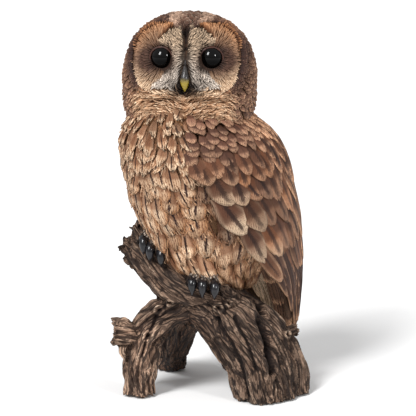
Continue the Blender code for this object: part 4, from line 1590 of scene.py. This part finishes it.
    def discs(self, coat: Coat) -> None:
        """Strands that radiate from each eye past the rim of its disc, ring upon ring."""
        for side in (-1, 1):
            for share in np.linspace(*self.disc_rings)[::-1]:
                count = int(2 * np.pi * self.disc_radius * share / self.strand_pitch)
                turn = (np.arange(count) + coat.draw.normal(0, 0.3, count)) / count * 2 * np.pi
                x, z, cos, sin = self.on_ring(turn, share)
                far = np.hypot(x - SKULL.eye_out, z - SKULL.eye_up)
                keep = (x > 1.5) & (self.lobe(x, z) < 0.4) & (far > SKULL.eye_opening + 0.2)
                x, z, cos, sin, far = (v[keep] for v in (x, z, cos, sin, far))
                roots, ways = SKULL.face(side * x, z), (side * cos, 0.0, sin - 0.08)
                length = np.minimum(8.5, (1.05 - share) / share * far + 1.2)
                self.lay(coat, self.strand, roots, ways, 0.07, (length, 0.68), 0.55, 0.25, 0.0)

    def bands(self, coat: Coat) -> None:
        """The pale bands: strands that fan out on either side of the groove."""
        x, z = grid_of(np.arange(-9, 54, 1.4), np.arange(1.5, 37, 1.2))
        x = x + coat.draw.normal(0, 0.4, len(x))
        z = z + coat.draw.normal(0, 0.4, len(z))
        way = unit(joined(x + 8, 0.9 * (z - 27)))
        tip = joined(x, z) + 4.6 * way
        keep = (self.lobe(x, z) > 0.3) & (self.lobe(*tip.T) > 0.2)
        keep &= np.hypot(x - SKULL.eye_out, z - SKULL.eye_up) > 11.4
        x, z, way = x[keep], z[keep], way[keep]
        for side in (-1, 1):
            roots, ways = SKULL.face(side * x, z), (side * way[:, 0], 0.0, way[:, 1])
            self.lay(coat, self.strand, roots, ways, 0.09, (5.8, 0.62), 0.3, 0.2, 0.0)

    def chin(self, coat: Coat) -> None:
        """Long strands under the discs, which sweep out and down from a V below the beak."""
        x, z = grid_of(np.arange(-43, -9, 1.7), np.arange(-5, 54, 3.0))
        x = x + coat.draw.normal(0, 1.0, len(x))
        z = z + coat.draw.normal(0, 0.6, len(z))
        keep = (SKULL.share(x, z) > 0.98) & ((x > 0.2) | (z < -12))
        x, z = x[keep], z[keep]
        rise = np.radians(44 - 1.9 * np.abs(x))
        for side in (-1, 1):
            near = (side < 0) | (x < 44)
            x, z, rise = x[near], z[near], rise[near]
            roots, ways = SKULL.face(side * x, z), (side * np.cos(rise), 0.0, np.sin(rise))
            self.lay(coat, self.long, roots, ways, 0.1, (13.0, 1.05), 0.5, 0.25, 0.0)

    def collar(self, coat: Coat) -> None:
        """Tufts that hang from under the head's edge at the sides and behind."""
        count = self.collar_count
        for row, (tilt, size) in enumerate(((-40, 14.0), (-34, 12.0))):
            azimuth = (np.arange(count) + 0.5 * row) / count * 2 * np.pi
            azimuth = azimuth + coat.draw.normal(0, 0.02, count)
            azimuth = azimuth[np.abs(azimuth - np.pi) < math.radians(105)]
            roots = SKULL.surface(azimuth, np.full(len(azimuth), math.radians(tilt)), -1.0)
            ways = (0.2 * np.sin(azimuth), -0.2 * np.cos(azimuth), -1.0)
            self.lay(coat, self.tuft, roots, ways, 0.2, (size, 2.4), 0.4)

    def build(self, scales: Material, strands: Material) -> None:
        """The head's scales as one piece, its chin as another, and its face as a third."""
        draw = np.random.default_rng(self.seed)
        pieces = (
            ("head_feathers", (self.scales, self.rim, self.collar), scales, "brown_plumage"),
            ("chin_feathers", (self.chin,), strands, "breast_plumage"),
            ("face_feathers", (self.discs, self.bands), strands, "breast_plumage"),
        )
        for name, parts, finish, slot in pieces:
            coat = Coat(name=name, draw=draw)
            for part in parts:
                part(coat)
            coat.make(finish, slot)


@dataclass(frozen=True)
class Limb:
    """A tapered round form along a bent axis, with a radius at each point of its path.

    ragged is how far its torn end juts, in mm. bark is how far its waves stand out, as a share
    of the radius.
    """

    path: Rows
    radii: Sequence[float]
    ragged: float = 0.0
    bark: float = 0.07

    @property
    def stands(self) -> bool:
        """Whether the path ends on the floor."""
        return self.path[-1][2] == 0

    def axis(self, count: int) -> tuple[Array, Array, Array]:
        """Points of the axis, the radius and the direction there, at even steps."""
        table = np.column_stack((np.linspace(0, 1, len(self.path)), self.path, self.radii))
        at = np.linspace(0, 1, count)
        centre = np.stack([smooth(table, k, at) for k in (1, 2, 3)], axis=-1)
        along = unit(np.gradient(centre, axis=0))
        if self.stands:
            level = ease(at, 0.55, 1.0)[:, None]
            along = unit((1 - level) * along + level * np.array((0, 0, -1.0)))
        return centre, smooth(table, 4, at), along

    def frame(self, along: Array) -> tuple[Array, Array]:
        """Two directions square to the axis."""
        side = unit(np.cross(along, (0.15, 1.0, 0.1)))
        return side, np.cross(side, along)

    def rings(self, count: int, around: int, lift: float = 0.0) -> Array:
        """Rings round the axis.

        Args:
            count: how many rings.
            around: points in a ring.
            lift: how far they are moved outwards.

        Returns:
            Points at the radius, with waves round the limb that wind along it.
        """
        centre, radius, along = self.axis(count)
        side, deep = self.frame(along)
        turn, at = circle(around)[None], np.linspace(0, 1, count)[:, None]
        wave = 0.6 * np.sin(5 * turn + 2.5 * at) + 0.5 * np.sin(3 * turn + 6.0 * at + 2.0)
        reach = (radius[:, None] * (1 + self.bark * wave) + lift)[..., None]
        out = np.cos(turn)[..., None] * side[:, None] + np.sin(turn)[..., None] * deep[:, None]
        rings = centre[:, None] + reach * out
        if self.stands:
            rings[-1, :, 2] = -lift
        else:
            torn = self.ragged * (np.sin(3 * turn[0] + 0.6) + 0.6 * np.sin(5 * turn[0])) + lift
            rings[-1] += torn[:, None] * along[-1]
        return rings


def outward(points: Array, faces: list[Array]) -> list[Array]:
    """Turns all faces round if the quads, which come first, hold a volume less than nought."""
    a, b, c = (points[faces[0][:, k]] - points.mean(0) for k in range(3))
    inside_out = np.einsum("ij,ij->", a, np.cross(b, c)) < 0
    return [part[:, ::-1] for part in faces] if inside_out else faces


def closed_loft(rings: Array) -> tuple[Array, list[Array]]:
    """Points and faces of a closed form through rings of points.

    Args:
        rings: an array of ring by point by xyz.

    Returns:
        The points, and quads and end caps that face outwards.
    """
    count, around = rings.shape[:2]
    points = rings.reshape(-1, 3)
    caps = np.stack((np.arange(around), (count - 1) * around + np.arange(around)[::-1]))
    return points, outward(points, [quad_grid(1, count, around), caps])


def fused(name: str, lofts: Sequence[Array], voxel: float, rounds: int) -> Mesh:
    """One closed mesh round several closed forms.

    Args:
        name: the mesh's name.
        lofts: the forms, as rings in mm.
        voxel: the size of the new faces, in mm.
        rounds: how many times it is smoothed.

    Returns:
        The mesh, with no modifier left on it.
    """
    shells = Shells()
    for rings in lofts:
        shells.gather(*closed_loft(rings))
    made = make_object(shells.mesh(name + "_forms"))
    modifier = made.modifiers.new("union", "REMESH")
    modifier.mode = "VOXEL"
    modifier.voxel_size = voxel * MM
    modifier = made.modifiers.new("smooth", "SMOOTH")
    modifier.iterations = rounds
    bpy.context.view_layer.update()
    graph = bpy.context.evaluated_depsgraph_get()
    result = bpy.data.meshes.new_from_object(made.evaluated_get(graph))
    result.name = name
    bpy.data.objects.remove(made)
    result.shade_smooth()
    return result


def vertex_array(mesh: Mesh, what: str) -> Array:
    """Coordinates in mm, or normals, of every vertex."""
    values = np.empty(len(mesh.vertices) * 3, np.float32)
    mesh.vertices.foreach_get(what, values)
    values = values.astype(float).reshape(-1, 3)
    return values / MM if what == "co" else values


@dataclass
class Log:
    """The weathered log: limbs fused into one, with bark, cracks, knots and torn ends.

    Swells: size across and along the grain, seed and height. Grooves: size across and along the
    grain, width as a part of the noise, and depth. Knots: x, z and size. Clefts: lines of x and z
    on the front.
    """

    limbs: Sequence[Limb] = (
        Limb(((-24, 12, 115), (2, 10, 103), (29, 8, 75), (52, 8, 40), (62, 8, 0)), (27, 30, 34, 37, 36)),
        Limb(((14, 6, 104), (-24, 10, 120), (-54, 20, 142), (-79, 30, 167)), (26, 27, 27, 24), 3),
        Limb(((-6, 32, 114), (32, 36, 91), (65, 37, 62), (81, 30, 30), (84, 22, 0)), (22, 25, 26, 28, 28)),
        Limb(
            ((-16, 6, 108), (-41, 8, 97), (-65, 10, 77), (-75, 12, 42), (-75, 13, 0)),
            (21, 20, 23, 22, 18),
        ),
        Limb(
            ((-10, 18, 106), (-26, 46, 84), (-37, 80, 52), (-43, 104, 24), (-43, 120, 0)),
            (22, 23, 24, 21, 17),
        ),
        Limb(((-58, 8, 66), (-84, 4, 71), (-105, 1, 73)), (15, 16.5, 17), 1.6),
        Limb(((66, 38, 58), (86, 40, 63), (101, 41, 66)), (10, 10, 8), 1),
        Limb(((-58, 25, 160), (-70, 33, 176), (-79, 36, 188)), (15, 13, 10), 1.5, 0.1),
        Limb(((-62, 25, 150), (-84, 30, 160), (-98, 31, 166)), (15, 13, 9), 1.5, 0.1),
        Limb(((-48, 18, 128), (-68, 22, 141), (-87, 26, 153)), (16, 15, 11), 1.5, 0.1),
        Limb(((-70, 10, 76), (-90, 4, 60), (-84, 8, 36)), (14, 11, 9)),
    )
    voxel: float = 1.25
    grid: tuple[int, int] = (40, 48)
    axis_steps: int = 48
    swells: Rows = ((10, 44, 1, 3.4), (4, 17, 6, 2.2))
    grooves: Rows = ((15, 110, 0.05, 3.2), (8, 70, 0.08, 2.6), (4.6, 46, 0.12, 1.9), (3.2, 26, 0.18, 1.4))
    knots: Rows = (
        (-53, 101, 4.0), (-41, 109, 3.2), (11, 106, 4.2), (23, 111, 2.8), (-65, 73, 4.8), (88, 66, 2.8),
    )
    clefts: Sequence[Rows] = (
        ((54, 112), (59, 88), (66, 66), (70, 36)),
        ((-46, 108), (-58, 92), (-66, 72), (-70, 52)),
        ((8, 92), (26, 62), (38, 30), (42, 8)),
        ((30, 98), (44, 66), (52, 40)),
    )
    cleft_depths: Sequence[float] = (9.0, 3.5, 4.0, 4.0)

    def grain(self, points: Array) -> tuple[Array, Array, Array, Array]:
        """Places measured along the nearest limb.

        Args:
            points: places in the figure's frame.

        Returns:
            For each place, the two distances square to the limb's axis and the distance
            along it; how much nearer its skin is than the next limb's; which limb it is; and
            the distance left to that limb's end.
        """
        best, second = np.full((2, len(points)), np.inf)
        local, left = np.zeros_like(points), np.zeros(len(points))
        which = np.zeros(len(points), int)
        for index, limb in enumerate(self.limbs):
            centre, radius, along = limb.axis(self.axis_steps)
            side, deep = limb.frame(along)
            run = np.concatenate(([0], np.cumsum(np.linalg.norm(np.diff(centre, axis=0), axis=1))))
            away = np.linalg.norm(points[:, None] - centre[None], axis=2) - radius[None]
            near = np.argmin(away, axis=1)
            gap = away[np.arange(len(points)), near]
            off = points - centre[near]
            far = run[near] + np.sum(off * along[near], axis=1)
            new = (np.sum(off * side[near], axis=1), np.sum(off * deep[near], axis=1), far)
            closer = gap < best
            second = np.where(closer, best, np.minimum(second, gap))
            local[closer] = joined(*new)[closer]
            which[closer] = index
            left[closer] = (run[-1] - far)[closer]
            best = np.minimum(best, gap)
        return local, second - best, which, left

    def cleft(self, home: Array, path: Rows) -> Array:
        """Distance of each place, seen from the front, from a wavering line of x and z."""
        best = np.full(len(home), np.inf)
        flat = home[:, (0, 2)] + 3.0 * waver(home / 9.0, 21)
        for a, b in zip(np.array(path[:-1], float), np.array(path[1:], float)):
            t = np.clip((flat - a) @ (b - a) / np.sum((b - a) ** 2), 0, 1)
            best = np.minimum(best, np.linalg.norm(flat - a - t[:, None] * (b - a), axis=1))
        return best

    def relief(self, home: Array, normals: Array) -> tuple[Array, ...]:
        """Bark as height over the smooth limbs.

        Plates swell between grooves. A groove runs where smooth noise, drawn out along each
        limb and bent by slower noise, passes its middle value, at four sizes. Snags across the
        grain, creases between limbs, clefts with raised lips, and knots ringed by swirls come
        on top. The inside of the arch is smoother.

        Args:
            home: places in the figure's frame.
            normals: outward normals there.

        Returns:
            The height in mm, the place along the grain, how far inside the arch each place is,
            and a mark added to the painted height, less than 0 in clefts and knots.
        """
        local, gap, which, _ = self.grain(home)
        q = local + 41.0 * which[:, None]
        q[:, :2] += 8.0 * waver(q / (17, 17, 34), 11) + 2.0 * waver(q / (5, 5, 12), 15)
        height = 0.0
        for across, along, seed, size in self.swells:
            height = height + size * (lattice_noise(q / (across, across, along), seed) - 0.5)
        for seed, (across, along, width, depth) in enumerate(self.grooves, 2):
            height = height - depth * bump(lattice_noise(q / (across, across, along), seed), 0.5, width)
        snag = lattice_noise(q / (11, 11, 13), 30)
        height = height - 2.0 * bump(snag, 0.5, 0.05) * ease(lattice_noise(q / 26.0, 31), 0.5, 0.65)
        height = height - 2.0 * bump(gap, 0, 2.6)
        inner = ease(-normals[:, 2], 0.1, 0.7) * ease(-np.abs(home[:, 0] + 28), -38, -22)
        height = height * (1 - 0.65 * inner)
        front = ease(-normals[:, 1], 0.0, 0.3)
        mark = np.zeros(len(home))
        for path, depth in zip(self.clefts, self.cleft_depths):
            near = self.cleft(home, path)
            height = height - front * depth * bump(near, 0, 1.2 + 0.22 * depth)
            height = height + front * 0.2 * depth * bump(near, 4.5 + 0.2 * depth, 2.5)
            mark = mark - front * 2.2 * bump(near, 0, 0.5 + 0.3 * depth)
        for x, z, size in self.knots:
            dx, dz = home[:, 0] - x, home[:, 2] - z
            turn = np.arctan2(dz, dx)
            off = np.hypot(dx, dz) * (1 + 0.06 * np.sin(2 * turn + x) + 0.04 * np.sin(5 * turn + z))
            swirl = 0.5 * np.sin(2.4 * off + 1.5 * turn) * ease(-off, -2.4 * size, -0.8 * size)
            ring = 2.0 * bump(off, 1.05 * size, 1.4) - 5.0 * bump(off, 0, 0.55 * size) + swirl
            near = ease(-off, -2.2 * size, -1.2 * size) * front
            height = height * (1 - 0.75 * near) + ring * front
            rings = 0.6 * bump(off, 1.05 * size, 1.2) - 1.7 * bump(off, 0, 0.55 * size)
            mark = mark + front * (rings - 0.7 * bump(off, 1.75 * size, 0.9))
        return height, q, inner, mark

    def tear(self, home: Array) -> Array:
        """Moves the torn ends out into prongs and in between them.

        Args:
            home: places in the figure's frame.

        Returns:
            How far each is moved. Blunt noise of the place across the limb sets how far.
        """
        local, _, which, left = self.grain(home)
        moved = np.zeros_like(home)
        for index, limb in enumerate(self.limbs):
            if limb.ragged:
                _, _, along = limb.axis(self.axis_steps)
                prong = ease(lattice_noise(local * (0.085, 0.085, 0), 60 + index), 0.3, 0.7) - 0.55
                prong = prong + 0.3 * (lattice_noise(local * (0.2, 0.2, 0), 70 + index) - 0.5)
                share = (which == index) * ease(-left, -14.0, 1.0)
                moved += (limb.ragged * 1.2 * share * prong)[:, None] * along[-1]
        return moved

    def build(self, finish: Material) -> None:
        """The whole log as one piece."""
        forms = [FIGURE.out(limb.rings(*self.grid, -0.4)) for limb in self.limbs]
        mesh = fused("log_bark", forms, self.voxel, 4)
        points = vertex_array(mesh, "co")
        normals = vertex_array(mesh, "normal")
        home = points - FIGURE.at
        height, grain, inner, mark = self.relief(home, normals)
        points = points + height[:, None] * normals + self.tear(home)
        points[:, 2] = np.maximum(points[:, 2], 0)
        mesh.vertices.foreach_set("co", (points * MM).astype(np.float32).ravel())
        mesh.update()
        set_map(mesh, "grain", grain * (0.32, 0.32, 0.045))
        raised = np.clip(0.95 + height / 7.0, 0, 1) + mark
        # pale is painted light: how much brighter the lit front left leg is drawn; the second number,
        # inside the arch, is painted shade there
        pale = ease(-home[:, 0], 42, 62) * ease(-home[:, 2], -98, -78)
        set_map(mesh, "relief", joined(raised, 0.8 * inner, pale))
        nodes = [name for name in frame["nodes"] if name.startswith("log_")]
        attach(mesh, finish, nodes)


# Each foot's ankle and the roots of its three claws, then the leg as steps from the ankle.
FEET = {
    "left": ((-4, 2, 148), ((-17, -17, 134), (-6, -19, 132), (7, -19, 130))),
    "right": ((-53, 15, 183), ((-69, 0, 175), (-62, -3, 168), (-50, -6, 163))),
}
SHANK = ((8, 24, 30), (4, 12, 16), (0, 0, 2), (0, -5, -5))
SHANK_RADII = (15, 14, 12, 9)
TOE_RADII = (7.0, 6.4, 5.4)


@dataclass
class Feet:
    """The tufts on the toes, and the black claws."""

    claw_path: Rows = ((0, 5, 2), (0, 0, 2.2), (0, -4, -1), (0, -5.2, -7), (0, -2.5, -14.5))
    claw_radii: Sequence[float] = (4.0, 5.0, 4.9, 3.8, 0.6)
    tuft: Cut = Cut(6, 5, 0.7, 0.5, 1.6, 0.5, 0.0, 0.8, 0.8, 1.2, 0.2, 0, 0, 0.06)
    claw_grid: tuple[int, int] = (24, 24)
    toe_grid: tuple[int, int] = (9, 14)
    seed: int = 61

    def toes(self) -> list[Limb]:
        """Every toe, from the ankle to its claw's root."""
        out = []
        for ankle, roots in FEET.values():
            for root in roots:
                arch = 0.4 * np.array(ankle) + 0.6 * np.array(root) + (0, 0, 3)
                out.append(Limb((ankle, arch, root), TOE_RADII, bark=0))
        return out

    def shanks(self) -> list[Limb]:
        """Both legs above the toes."""
        paths = ([np.add(ankle, step) for step in SHANK] for ankle, _ in FEET.values())
        return [Limb(path, SHANK_RADII, bark=0.04) for path in paths]

    def claws(self, horn: Material) -> None:
        """Six claws, one piece each."""
        for word, (_, roots) in FEET.items():
            for i, root in enumerate(roots):
                limb = Limb([np.add(root, step) for step in self.claw_path], self.claw_radii, bark=0)
                points, faces = closed_loft(FIGURE.out(limb.rings(*self.claw_grid)))
                name = f"claw_{word}_{i + 1}"
                attach(make_mesh(name + "_horn", points, faces), horn, [name])

    def down(self, finish: Material) -> None:
        """Tufts on the toes: pale grey by the ankle, black round the claws."""
        draw = np.random.default_rng(self.seed)
        steps, around = self.toe_grid
        rows = []
        for limb in self.toes():
            rings = limb.rings(steps, around)[1:]
            centre, _, along = (part[1:, None] for part in limb.axis(steps))
            out = unit(rings - centre)
            share = np.arange(1, steps)[:, None, None] / (steps - 1)
            parts = (rings, out, along + 0 * out, share + 0 * out[..., :1])
            rows.append(np.concatenate(parts, axis=-1)[out[..., 2] > -0.35])
        rows = np.concatenate(rows)
        roots, normals, ways, share = *np.split(rows[:, :9], 3, axis=1), rows[:, 9]
        count = len(roots)
        tone = draw.uniform(0, 1, (3, count))
        dark = ease(share + 0.3 * (tone[0] - 0.5), 0.5, 0.85)
        low, size = roots[:, (0, 2)].min(0), np.ptp(roots[:, (0, 2)], axis=0)
        batch = Batch(
            6.0 * (0.8 + 0.4 * tone[1]),
            np.full(count, 1.4),
            blend(Paint.ASH * 0.8, Paint.SOOT.rgb, dark),
            blend(Paint.PEARL * 0.9, Paint.SOOT * 2.2, dark),
            joined(NO_STREAK, 0.0, tone[2]),
            np.tile((0.2, 0.4, 0.8), (count, 1)),
            0.1 + 0.8 * (roots[:, (0, 2)] - low) / size,
        )
        coat = Coat(name="toe_feathers", draw=draw)
        ways = ways + draw.normal(0, 0.2, ways.shape)
        coat.add(self.tuft, patch_spread(FIGURE.out(roots), normals, ways, 9.0), batch)
        coat.make(finish, "breast_plumage")

    def build(self, horn: Material, finish: Material) -> None:
        """Claws and toes."""
        self.claws(horn)
        self.down(finish)


@dataclass
class Skin:
    """One skin under all the plumage, in place of every node of flesh."""

    depth: float = 1.6
    voxel: float = 2.2
    around: int = 72
    head_around: int = 120
    limb_grid: tuple[int, int] = (16, 20)

    def trunk(self) -> Array:
        """Rings of the body, closer together where it narrows."""
        turn = np.linspace(-np.pi, np.pi, self.around, endpoint=False)
        heights = np.concatenate((np.linspace(113, 145, 9), np.linspace(150, 319, 30)))
        return OWL.out(BODY.trunk(turn, heights[:, None], -self.depth))

    def skull(self) -> Array:
        """Rings of the head."""
        tilts = np.radians(np.linspace(-58, 85, 60))
        return HEAD.out(SKULL.surface(circle(self.head_around), tilts[:, None], -self.depth))

    def wing(self, side: int) -> Array:
        """Rings of a folded wing, thinner by its edges. side is 1 for the left."""
        across, h = np.linspace(0, 1, 24), np.linspace(68, 301, 40)[:, None]
        first, last = (np.radians(wing_edge(h, k)) for k in (1, 2))
        turn = side * (first + (last - first) * across)
        edge = np.minimum(across, 1 - across) * (last - first) * CHART_RADIUS
        plump = ease(np.minimum(edge, 0.8 * np.minimum(h - 62, 303 - h)), -6, 16)
        thick = 5.0 + 9.0 * ease(h, 110, 165)
        outer = BODY.envelope(turn, h, -2.2 - 3.5 * (1 - plump))
        inner = BODY.envelope(turn, h, -2.6 - thick * (0.55 + 0.45 * plump))
        return OWL.out(np.concatenate((outer, inner[:, ::-1]), axis=1))

    def tail(self) -> Array:
        """Rings of the tail, from its upper and its under side."""
        h = np.linspace(58, 182, 24)
        wide = smooth(BODY.tail, 2, h) - 1.0
        a = np.linspace(-wide, wide, 15, axis=1)
        upper, under = (BODY.tail_side(a, h[:, None], -1.0, low) for low in (False, True))
        return OWL.out(np.concatenate((upper, under[:, ::-1]), axis=1))

    def paint(self, points: Array) -> Array:
        """The paint of the feathers over each place, darkened as painted shade, for places in the world.
        """
        own = OWL.home(points)
        in_head = HEAD.home(points)
        on_face, _ = HeadCoat().zone(in_head)
        middle = smooth(BODY.outer, 1, own[:, 2])
        turn = np.arctan2(own[:, 0], middle - own[:, 1])
        _, body = Breast().ground(turn * CHART_RADIUS, own[:, 2])
        past = np.degrees(np.abs(turn)) - wing_edge(own[:, 2], 1)
        # the skin is drawn darker than the feathers over it, 0.4 of their paint on the body and 0.7 on the
        # head, as painted shade in the gaps between them
        colour = blend(body * 0.4, Paint.UMBER * 0.8, ease(past, 0, 6))
        tail = ease(-own[:, 2], -112, -100)
        colour = blend(colour, Paint.SLATE.rgb, tail)
        near = np.linalg.norm(in_head, axis=1)
        head = ease(in_head[:, 2], -52, -47) * (near < 90)
        return blend(colour, on_face * 0.7, head)

    def build(self, finish: Material) -> None:
        """The skin, painted like the feathers over it but darker, as painted shade between them."""
        feet = Feet()
        forms = [self.trunk(), self.skull(), self.wing(1), self.wing(-1), self.tail()]
        forms += [FIGURE.out(limb.rings(*self.limb_grid, -0.5)) for limb in feet.shanks() + feet.toes()]
        mesh = fused("owl_skin", forms, self.voxel, 2)
        set_map(mesh, "paint", self.paint(vertex_array(mesh, "co")))
        flesh = ("torso", "neck", "head", "wing_left", "wing_right", "tail", "leg_left", "leg_right")
        attach(mesh, finish, flesh)


@dataclass
class Face:
    """Glass eyes in their lids, and the hooked beak."""

    beak_top: float = 14.0
    beak_tip: float = -10.5
    beak_root: float = 54.0
    beak_reach: float = 67.0
    beak_wide: float = 4.2
    beak_deep: float = 7.5
    opening: float = 11.3
    eye_proud: float = 0.6
    eye_grid: tuple[int, int] = (40, 56)
    lid_grid: tuple[int, int] = (72, 14)
    beak_grid: tuple[int, int] = (32, 32)

    def eye(self, side: int, glass: Material, lid: Material) -> None:
        """An eyeball, round with its pole forward, and a lid: a ring of uneven thickness."""
        word = "left" if side > 0 else "right"
        tilt = np.linspace(0.02, np.pi - 0.02, self.eye_grid[0])[:, None]
        turn = circle(self.eye_grid[1])[None]
        flat, deep = SKULL.eye_radius * np.sin(tilt), SKULL.eye_radius * np.cos(tilt)
        points, faces = closed_loft(self.turned(side, flat * np.cos(turn), flat * np.sin(turn), deep))
        attach(make_mesh(f"eye_{word}_glass", points, faces), glass, [f"eye_{word}"])
        forward = math.sqrt(SKULL.eye_radius**2 - self.opening**2)
        around, across = self.lid_grid
        turn, minor = circle(around)[:, None], circle(across)[None]
        thick = 0.95 + 0.3 * np.sin(turn) + 0.1 * np.sin(9 * turn)
        reach = self.opening + 0.4 + thick * np.cos(minor)
        squash = 1.0 - 0.04 * np.abs(np.sin(turn))
        ahead = forward + 0.1 + 1.3 * thick * np.sin(minor)
        ring = self.turned(side, 1.02 * reach * np.cos(turn), squash * reach * np.sin(turn), ahead)
        quads = quad_grid(1, around + 1, across) % (around * across)
        points = ring.reshape(-1, 3)
        attach(make_mesh(f"eye_{word}_lid", points, outward(points, [quads])), lid)

    def turned(self, side: int, *parts: Array) -> Array:
        """Points in the world for distances from an eye's centre: across, up and forward."""
        facing = np.array((side * math.sin(SKULL.eye_turn), -math.cos(SKULL.eye_turn), 0))
        up = np.array((0, 0, 1.0))
        pairs = zip(np.broadcast_arrays(*parts), (np.cross(facing, up), up, facing))
        centre = SKULL.eye_centre(side) + (0, -self.eye_proud, 0)
        return HEAD.out(centre + sum(part[..., None] * axis for part, axis in pairs))

    def beak(self, horn: Material) -> None:
        """The bill: ovals along a curve that leaves the face and hooks down, over a lower half."""
        halves = (("beak_upper", 1.0, 0.0, 0.0), ("beak_lower", 0.72, 4.2, -1.0))
        for name, shrink, back, low in halves:
            t = np.linspace(0, 1, self.beak_grid[0])[:, None]
            around = circle(self.beak_grid[1])[None]
            bend = -np.radians(10 + 78 * t)
            forward = np.sin(np.pi * 0.5 * np.minimum(1, t * 1.3))
            y = -self.beak_root - (self.beak_reach - self.beak_root) * forward + 4 * t**4 + back
            tip = self.beak_tip + (6.0 if back else 0.0)
            z = self.beak_top + (tip - self.beak_top) * t + low
            swell = 0.45 + 0.55 * ease(t, 0, 0.55)
            wide = self.beak_wide * swell * (1 - np.maximum(0, (t - 0.5) / 0.5) ** 1.8) + 0.3
            deep = self.beak_deep * (1 - t) ** 0.8 + 0.5
            keel = 1 + 0.22 * bump(around, np.pi, 0.5)
            along = deep * np.cos(around) * shrink * keel
            x = wide * np.sin(around) * shrink + 0 * t
            rings = joined(x, y + along * np.sin(bend), z + along * np.cos(bend))
            points, faces = closed_loft(HEAD.out(rings))
            attach(make_mesh(name, points, faces), horn, ["beak"] if back == 0 else [])

    def build(self, glass: Material, lid: Material, horn: Material) -> None:
        """Both eyes and the beak."""
        for side in (1, -1):
            self.eye(side, glass, lid)
        self.beak(horn)


@dataclass
class Studio:
    """A pale floor, soft lamps and the camera at the photo's angle."""

    distance: float = 1.7
    elevation: float = math.radians(10)
    aim: float = 0.211
    scale: float = 0.42 / 393
    image: int = 416
    floor_half: float = 30000.0
    floor_drop: float = 0.4
    floor_paint: Colour = (0.95, 0.95, 0.95)

    def camera(self) -> None:
        """A long lens that looks down a little at the figure's middle."""
        data = bpy.data.cameras.new("camera")
        data.lens = data.sensor_width * (self.distance / self.scale) / self.image
        made = make_object(data)
        target = Vector(FIGURE.at) * MM + Vector((0, 0, self.aim))
        back = Vector((0, -math.cos(self.elevation), math.sin(self.elevation)))
        side = Vector((1, 0, 0))
        turned = Matrix((side, back.cross(side), back)).transposed().to_4x4()
        turned.translation = target + back * self.distance
        made.matrix_world = turned
        bpy.context.scene.camera = made

    def lamp(self, name: str, turn: float, rise: float, spread: float, power: float) -> None:
        """A large soft lamp, far off.

        Args:
            name: the lamp's name.
            turn: angle to the right of the camera, in degrees.
            rise: angle above the floor.
            spread: the angle that it fills, which softens the shadows.
            power: light on a surface that faces it.
        """
        data = bpy.data.lights.new(name, "SUN")
        data.angle = math.radians(spread)
        data.energy = power
        across, up = math.radians(turn), math.radians(rise)
        back = Vector((math.sin(across) * math.cos(up), -math.cos(across) * math.cos(up), math.sin(up)))
        make_object(data).rotation_euler = back.to_track_quat("Z", "Y").to_euler()

    def build(self) -> None:
        """Everything round the figure."""
        self.camera()
        self.lamp("key_high", -34, 48, 15, 1.55)
        self.lamp("key_low", -34, 36, 15, 1.55)
        self.lamp("fill", 44, 24, 9, 1.0)
        world = bpy.data.worlds.new("studio")
        bpy.context.scene.world = world
        world.use_nodes = True
        world.node_tree.nodes["Background"].inputs["Color"].default_value = (1, 1, 1, 1)
        world.node_tree.nodes["Background"].inputs["Strength"].default_value = 0.5
        bpy.context.scene.view_settings.view_transform = "Standard"
        corners = np.array(((-1, -1, 0), (1, -1, 0), (1, 1, 0), (-1, 1, 0))) * self.floor_half
        corners = corners - (0, 0, self.floor_drop)
        floor = make_object(make_mesh("floor", corners, [np.array(((0, 1, 2, 3),))]))
        pale = Recipe("pale floor").set(Base_Color=self.floor_paint, Roughness=0.9, Specular_IOR_Level=0.0)
        floor.data.materials.append(pale)


def main() -> None:
    """Builds and dresses every sub-assembly in order."""
    logging.basicConfig(level=logging.INFO, format="%(message)s")
    Studio().build()
    body = PlumageFinish(
        "breast plumage", 3.0, fan=1.0, contrast=1.0, side_from=0.25, tip_from=0.6, shadow=0.75,
        relief=0.8, vary=0.4, wash=(0.22, 0.09, 0.035),
    ).make()
    wing = PlumageFinish("covert plumage", 1.8, 1.8, shadow=0.75).make()
    narrow = PlumageFinish("flight plumage", 2.0, 2.2, tip_from=0.85).make()
    scales = PlumageFinish("head plumage", 1.8, 1.2, contrast=0.7, tip_from=0.55, vary=0.5).make()
    face = PlumageFinish(
        "face plumage", 3.0, contrast=0.4, tip_from=0.25, relief=0.1, vary=0.3, gap=0.85
    ).make()
    horn = GlossFinish("claw horn", (0.004, 0.004, 0.005), (0.012, 0.011, 0.014), 0.2, 0.5).make()
    glass = EyeFinish(HEAD.out(SKULL.eye_centre(1))[2]).make()
    lid = GlossFinish("eye lid", (0.060, 0.022, 0.014), (0.028, 0.011, 0.008), 0.4, 0.3).make()
    Log().build(BarkFinish().make())
    Skin().build(SkinFinish().make())
    Breast().build(body)
    wings = Wings()
    for side in (1, -1):
        wings.build(side, wing, narrow)
    Tail().build(narrow)
    HeadCoat().build(scales, face)
    Feet().build(horn, face)
    Face().build(glass, lid, BeakFinish().make())


if __name__ == "__main__":
    main()
